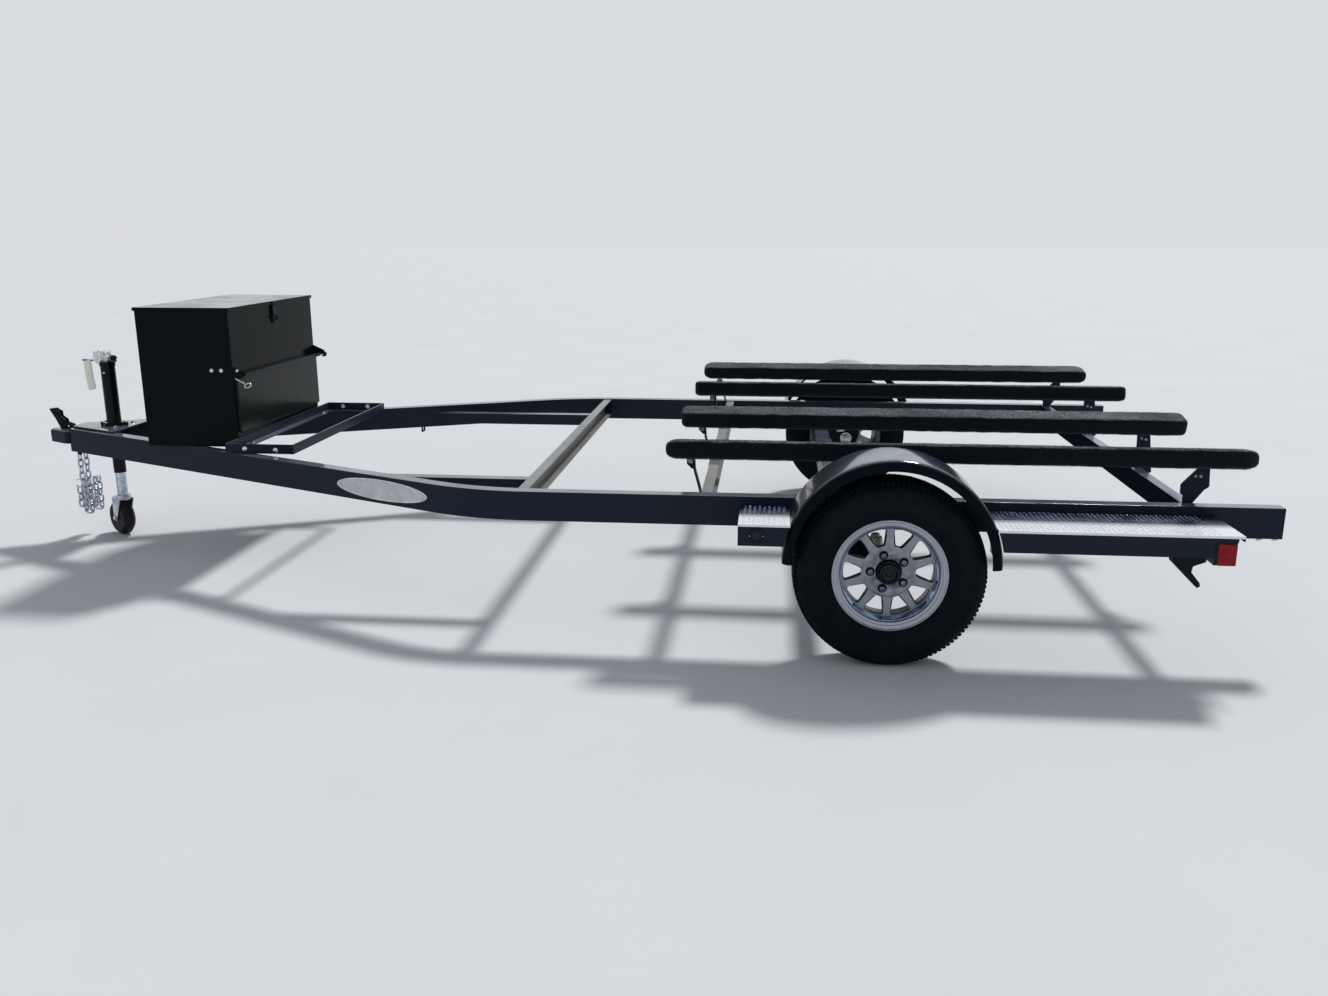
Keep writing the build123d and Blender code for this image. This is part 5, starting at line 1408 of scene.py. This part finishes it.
def makeTag():
    s = tagSize
    columns, lines = s["columns"], s["lines"]
    points = []
    for j in range(lines + 1):
        for i in range(columns + 1):
            u, v = i / columns, j / lines
            bend = 0.006 * sin(v * 2.2) + 0.0025 * sin(u * pi)
            corner = 1 - 0.22 * max(0.0, abs(v - 0.5) * 18 - 8)
            ahead = s["ahead"] + s["wide"] * corner * (u - 0.5) - 0.012 * v
            points.append(at(ahead, s["y"] + bend + 0.004 * u, s["top"] - s["long"] * v - 0.006 * u))
    tag = makePiece("tagCard", (points, grid(lines, columns)), "tagCard", smooth=60)
    tag.modifiers.new("cardThickness", "SOLIDIFY").thickness = s["thick"]


makeJackTop()
makeFilm()
makeTag()


# Caster: swivel collar and the axle's two nuts

casterSize = dict(
    collar=[(0.0312, 0.0012), (0.0322, 0.0025), (0.0322, 0.0060), (0.0312, 0.0075), (0.0245, 0.0095)],
    collarDrop=0.0105, angle=-33.0, trail=0.030, axle=0.080, half=0.0331)


def makeCasterTrim():
    s = casterSize
    centreX, angle = along(jackSize["ahead"]), radians(s["angle"])
    collar = shifted(turned(s["collar"], 40), centreX, 0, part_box("caster_fork")[1].z - s["collarDrop"])
    wheelAt = Vector((centreX + s["trail"] * cos(angle), s["trail"] * sin(angle), s["axle"]))
    pin = Vector((-sin(angle), cos(angle), 0))
    nuts = [hexBolt(wheelAt + pin * sign * s["half"], pin * sign, 0.016, 0.007, 0.011) for sign in (1, -1)]
    makePiece("casterCollar", collar, "brightSteel", 30, "caster")
    makePiece("casterAxleNuts", joined(nuts), "brightSteel", 28, "caster")


makeCasterTrim()
print("jack and caster trimmed")


# Coupler: two small bolts on top and the lever's pin

couplerSize = dict(bolts=((3.474, 0.0, 0.488), (3.500, 0.018, 0.488)), pin=(3.497, 0.0155, 0.500),
                   pinRadius=0.0036)


def makeCouplerTrim():
    s = couplerSize
    heads = [hexBolt(at(*place), (0, 0, 1), 0.010, 0.004, 0.008, 0.4) for place in s["bolts"]]
    ahead, half, z = s["pin"]
    pin = rod([at(ahead, -half, z), at(ahead, half, z)], s["pinRadius"], 14)
    makePiece("couplerBolts", joined(heads), "blackSteel", 28)
    makePiece("leverPin", pin, "zincPlate", 40)


makeCouplerTrim()


# Blank oval plate on the near rail, with a raised rim

plateSize = dict(ahead=1.7668, z=0.448, long=0.219, high=0.0385, rim=0.0055, thick=0.0022, bend=1.376,
                 railMiddle=1.0166, railHalf=0.0254, angle=24.9997, steps=96)


def makeBlankPlate():
    s = plateSize
    steps, thick, rim, angle = s["steps"], s["thick"], s["rim"], radians(s["angle"])
    y = s["railMiddle"] - (s["ahead"] - s["bend"]) * sin(angle) / cos(angle) + s["railHalf"] / cos(angle)
    back, out = Vector((-cos(angle), sin(angle), 0)), Vector((sin(angle), cos(angle), 0))
    seat = seatOf(back, (0, 0, 1), out, at(s["ahead"], y, s["z"]))
    slopes = ((0, 0), (0.0003, thick * 0.7), (0.0014, thick), (rim - 0.001, thick), (rim, thick * 0.5),
              (rim + 0.004, thick * 0.45))
    rings = []
    for inset, height in slopes:
        rings.append([Vector(((s["long"] - inset) * u, (s["high"] - inset) * v, height))
                      for u, v in arc(1, 0, 2 * pi, steps)[:steps]])
    rimFaces = [face for j in range(4) for face in band(j * steps, (j + 1) * steps, steps)]
    raised = ([point for ring in rings for point in ring], rimFaces)
    field = (rings[4] + rings[5], band(0, steps, steps) + [tuple(range(steps, 2 * steps))])
    makePiece("blankPlateRim", placed(raised, seat), "brightSteel", 40)
    makePiece("blankPlate", placed(field, seat), "brushedPlate", 40)


makeBlankPlate()


# Spindle nuts on the arms' inner faces, and the gold bolts on top of the arms

armSize = dict(
    nut=dict(across=0.040, high=0.016, washer=0.0285, spin=0.3),
    spindle=[(0, 0.027), (0.010, 0.026), (0.0125, 0.022), (0.0125, 0)],
    bolt=[(0, 0.053), (0.012, 0.052), (0.0150, 0.048), (0.0150, 0.041), (0.0205, 0.040), (0.0230, 0.035),
          (0.0230, 0.019), (0.0205, 0.017), (0.0235, 0.015), (0.0235, 0)],
    boltPlace=(0.028, 0.014, 0.339), boltWay=(0.1, 0, 1))


def makeArmTrim():
    s = armSize
    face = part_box("axle_arm_left")[0].y
    ahead, out, z = s["boltPlace"]
    nuts, bolts = [], []
    for side in (1, -1):
        place, inward = Vector((axleX, side * face, axleZ)), (0, -side, 0)
        nuts.append(hexBolt(place, inward, **s["nut"]))
        nuts.append(placed(turned(s["spindle"], 24), turnedTo(place, inward)))
        bolts.append(placed(turned(s["bolt"], 24), turnedTo(at(ahead, side * (face + out), z), s["boltWay"])))
    makePiece("spindleNuts", joined(nuts), "brightSteel", 28)
    makePiece("armBolts", joined(bolts), "goldZinc", 28)


makeArmTrim()
print("trim done")


# Camera as in the photograph, pale floor and soft light

viewSize = dict(place=(-0.7944, 4.6162, 1.3796), yaw=0.0984, pitch=0.2434, roll=-0.001, lens=30.12)
floorLook = dict(reach=60, pale=(0.76, 0.765, 0.77), shade=(0.72, 0.725, 0.73), rough=0.8, shine=0.2)
lightLooks = dict(sky=(0.52, 0.56, 0.62), skyStrength=0.64, backdrop=(0.70, 0.715, 0.735), sunStrength=2.2,
                  sunWidth=8.0, sunWay=(0.30, 0.62, -0.95))


def makeCamera():
    s = viewSize
    yaw, pitch = s["yaw"], s["pitch"]
    forward = Vector((sin(yaw) * cos(pitch), -cos(yaw) * cos(pitch), -sin(pitch)))
    right = Vector((-cos(yaw), -sin(yaw), 0))
    data = bpy.data.cameras.new("photoView")
    data.sensor_width = 36
    data.lens = s["lens"]
    data.clip_end = 200
    camera = bpy.data.objects.new("photoView", data)
    seat = seatOf(right, right.cross(forward), -forward, s["place"])
    camera.matrix_world = seat @ Matrix.Rotation(s["roll"], 4, "Z")
    bpy.context.scene.collection.objects.link(camera)
    bpy.context.scene.camera = camera


def makeFloor():
    s = floorLook
    reach = s["reach"]
    mesh = bpy.data.meshes.new("floor")
    corners = [(-reach, -reach, 0), (reach, -reach, 0), (reach, reach, 0), (-reach, reach, 0)]
    mesh.from_pydata(corners, [], [(0, 1, 2, 3)])
    floor = bpy.data.objects.new("floor", mesh)
    bpy.context.scene.collection.objects.link(floor)
    finish, tree, shader = newFinish("floorGrey")
    patch = ranged(tree, grain(tree, 1.3, 5), 0, 0.5)
    feed(tree, shader, {
        "Base Color": blended(tree, patch, s["pale"], s["shade"]),
        "Roughness": s["rough"],
        "Specular IOR Level": s["shine"],
    })
    mesh.materials.append(finish)


def makeLight():
    s = lightLooks
    world = bpy.data.worlds.new("softStudio")
    world.use_nodes = True
    bpy.context.scene.world = world
    tree = world.node_tree
    tree.nodes.clear()
    path = addNode(tree, "ShaderNodeLightPath", {}).outputs
    seen = plus(tree, plus(tree, path["Is Camera Ray"], path["Is Glossy Ray"]), path["Is Transmission Ray"])
    plain = addNode(tree, "ShaderNodeBackground", {"Color": (*s["sky"], 1), "Strength": s["skyStrength"]})
    pale = addNode(tree, "ShaderNodeBackground", {"Color": (*s["backdrop"], 1), "Strength": 1.0})
    mix = addNode(tree, "ShaderNodeMixShader", {0: seen, 1: plain.outputs[0], 2: pale.outputs[0]})
    addNode(tree, "ShaderNodeOutputWorld", {0: mix.outputs[0]}).is_active_output = True
    sunData = bpy.data.lights.new("keyLight", "SUN")
    sunData.energy = s["sunStrength"]
    sunData.angle = radians(s["sunWidth"])
    sun = bpy.data.objects.new("keyLight", sunData)
    sun.rotation_mode = "QUATERNION"
    sun.rotation_quaternion = Vector(s["sunWay"]).to_track_quat("-Z", "Y")
    bpy.context.scene.collection.objects.link(sun)


makeCamera()
makeFloor()
makeLight()
bpy.context.scene.view_settings.view_transform = "Standard"
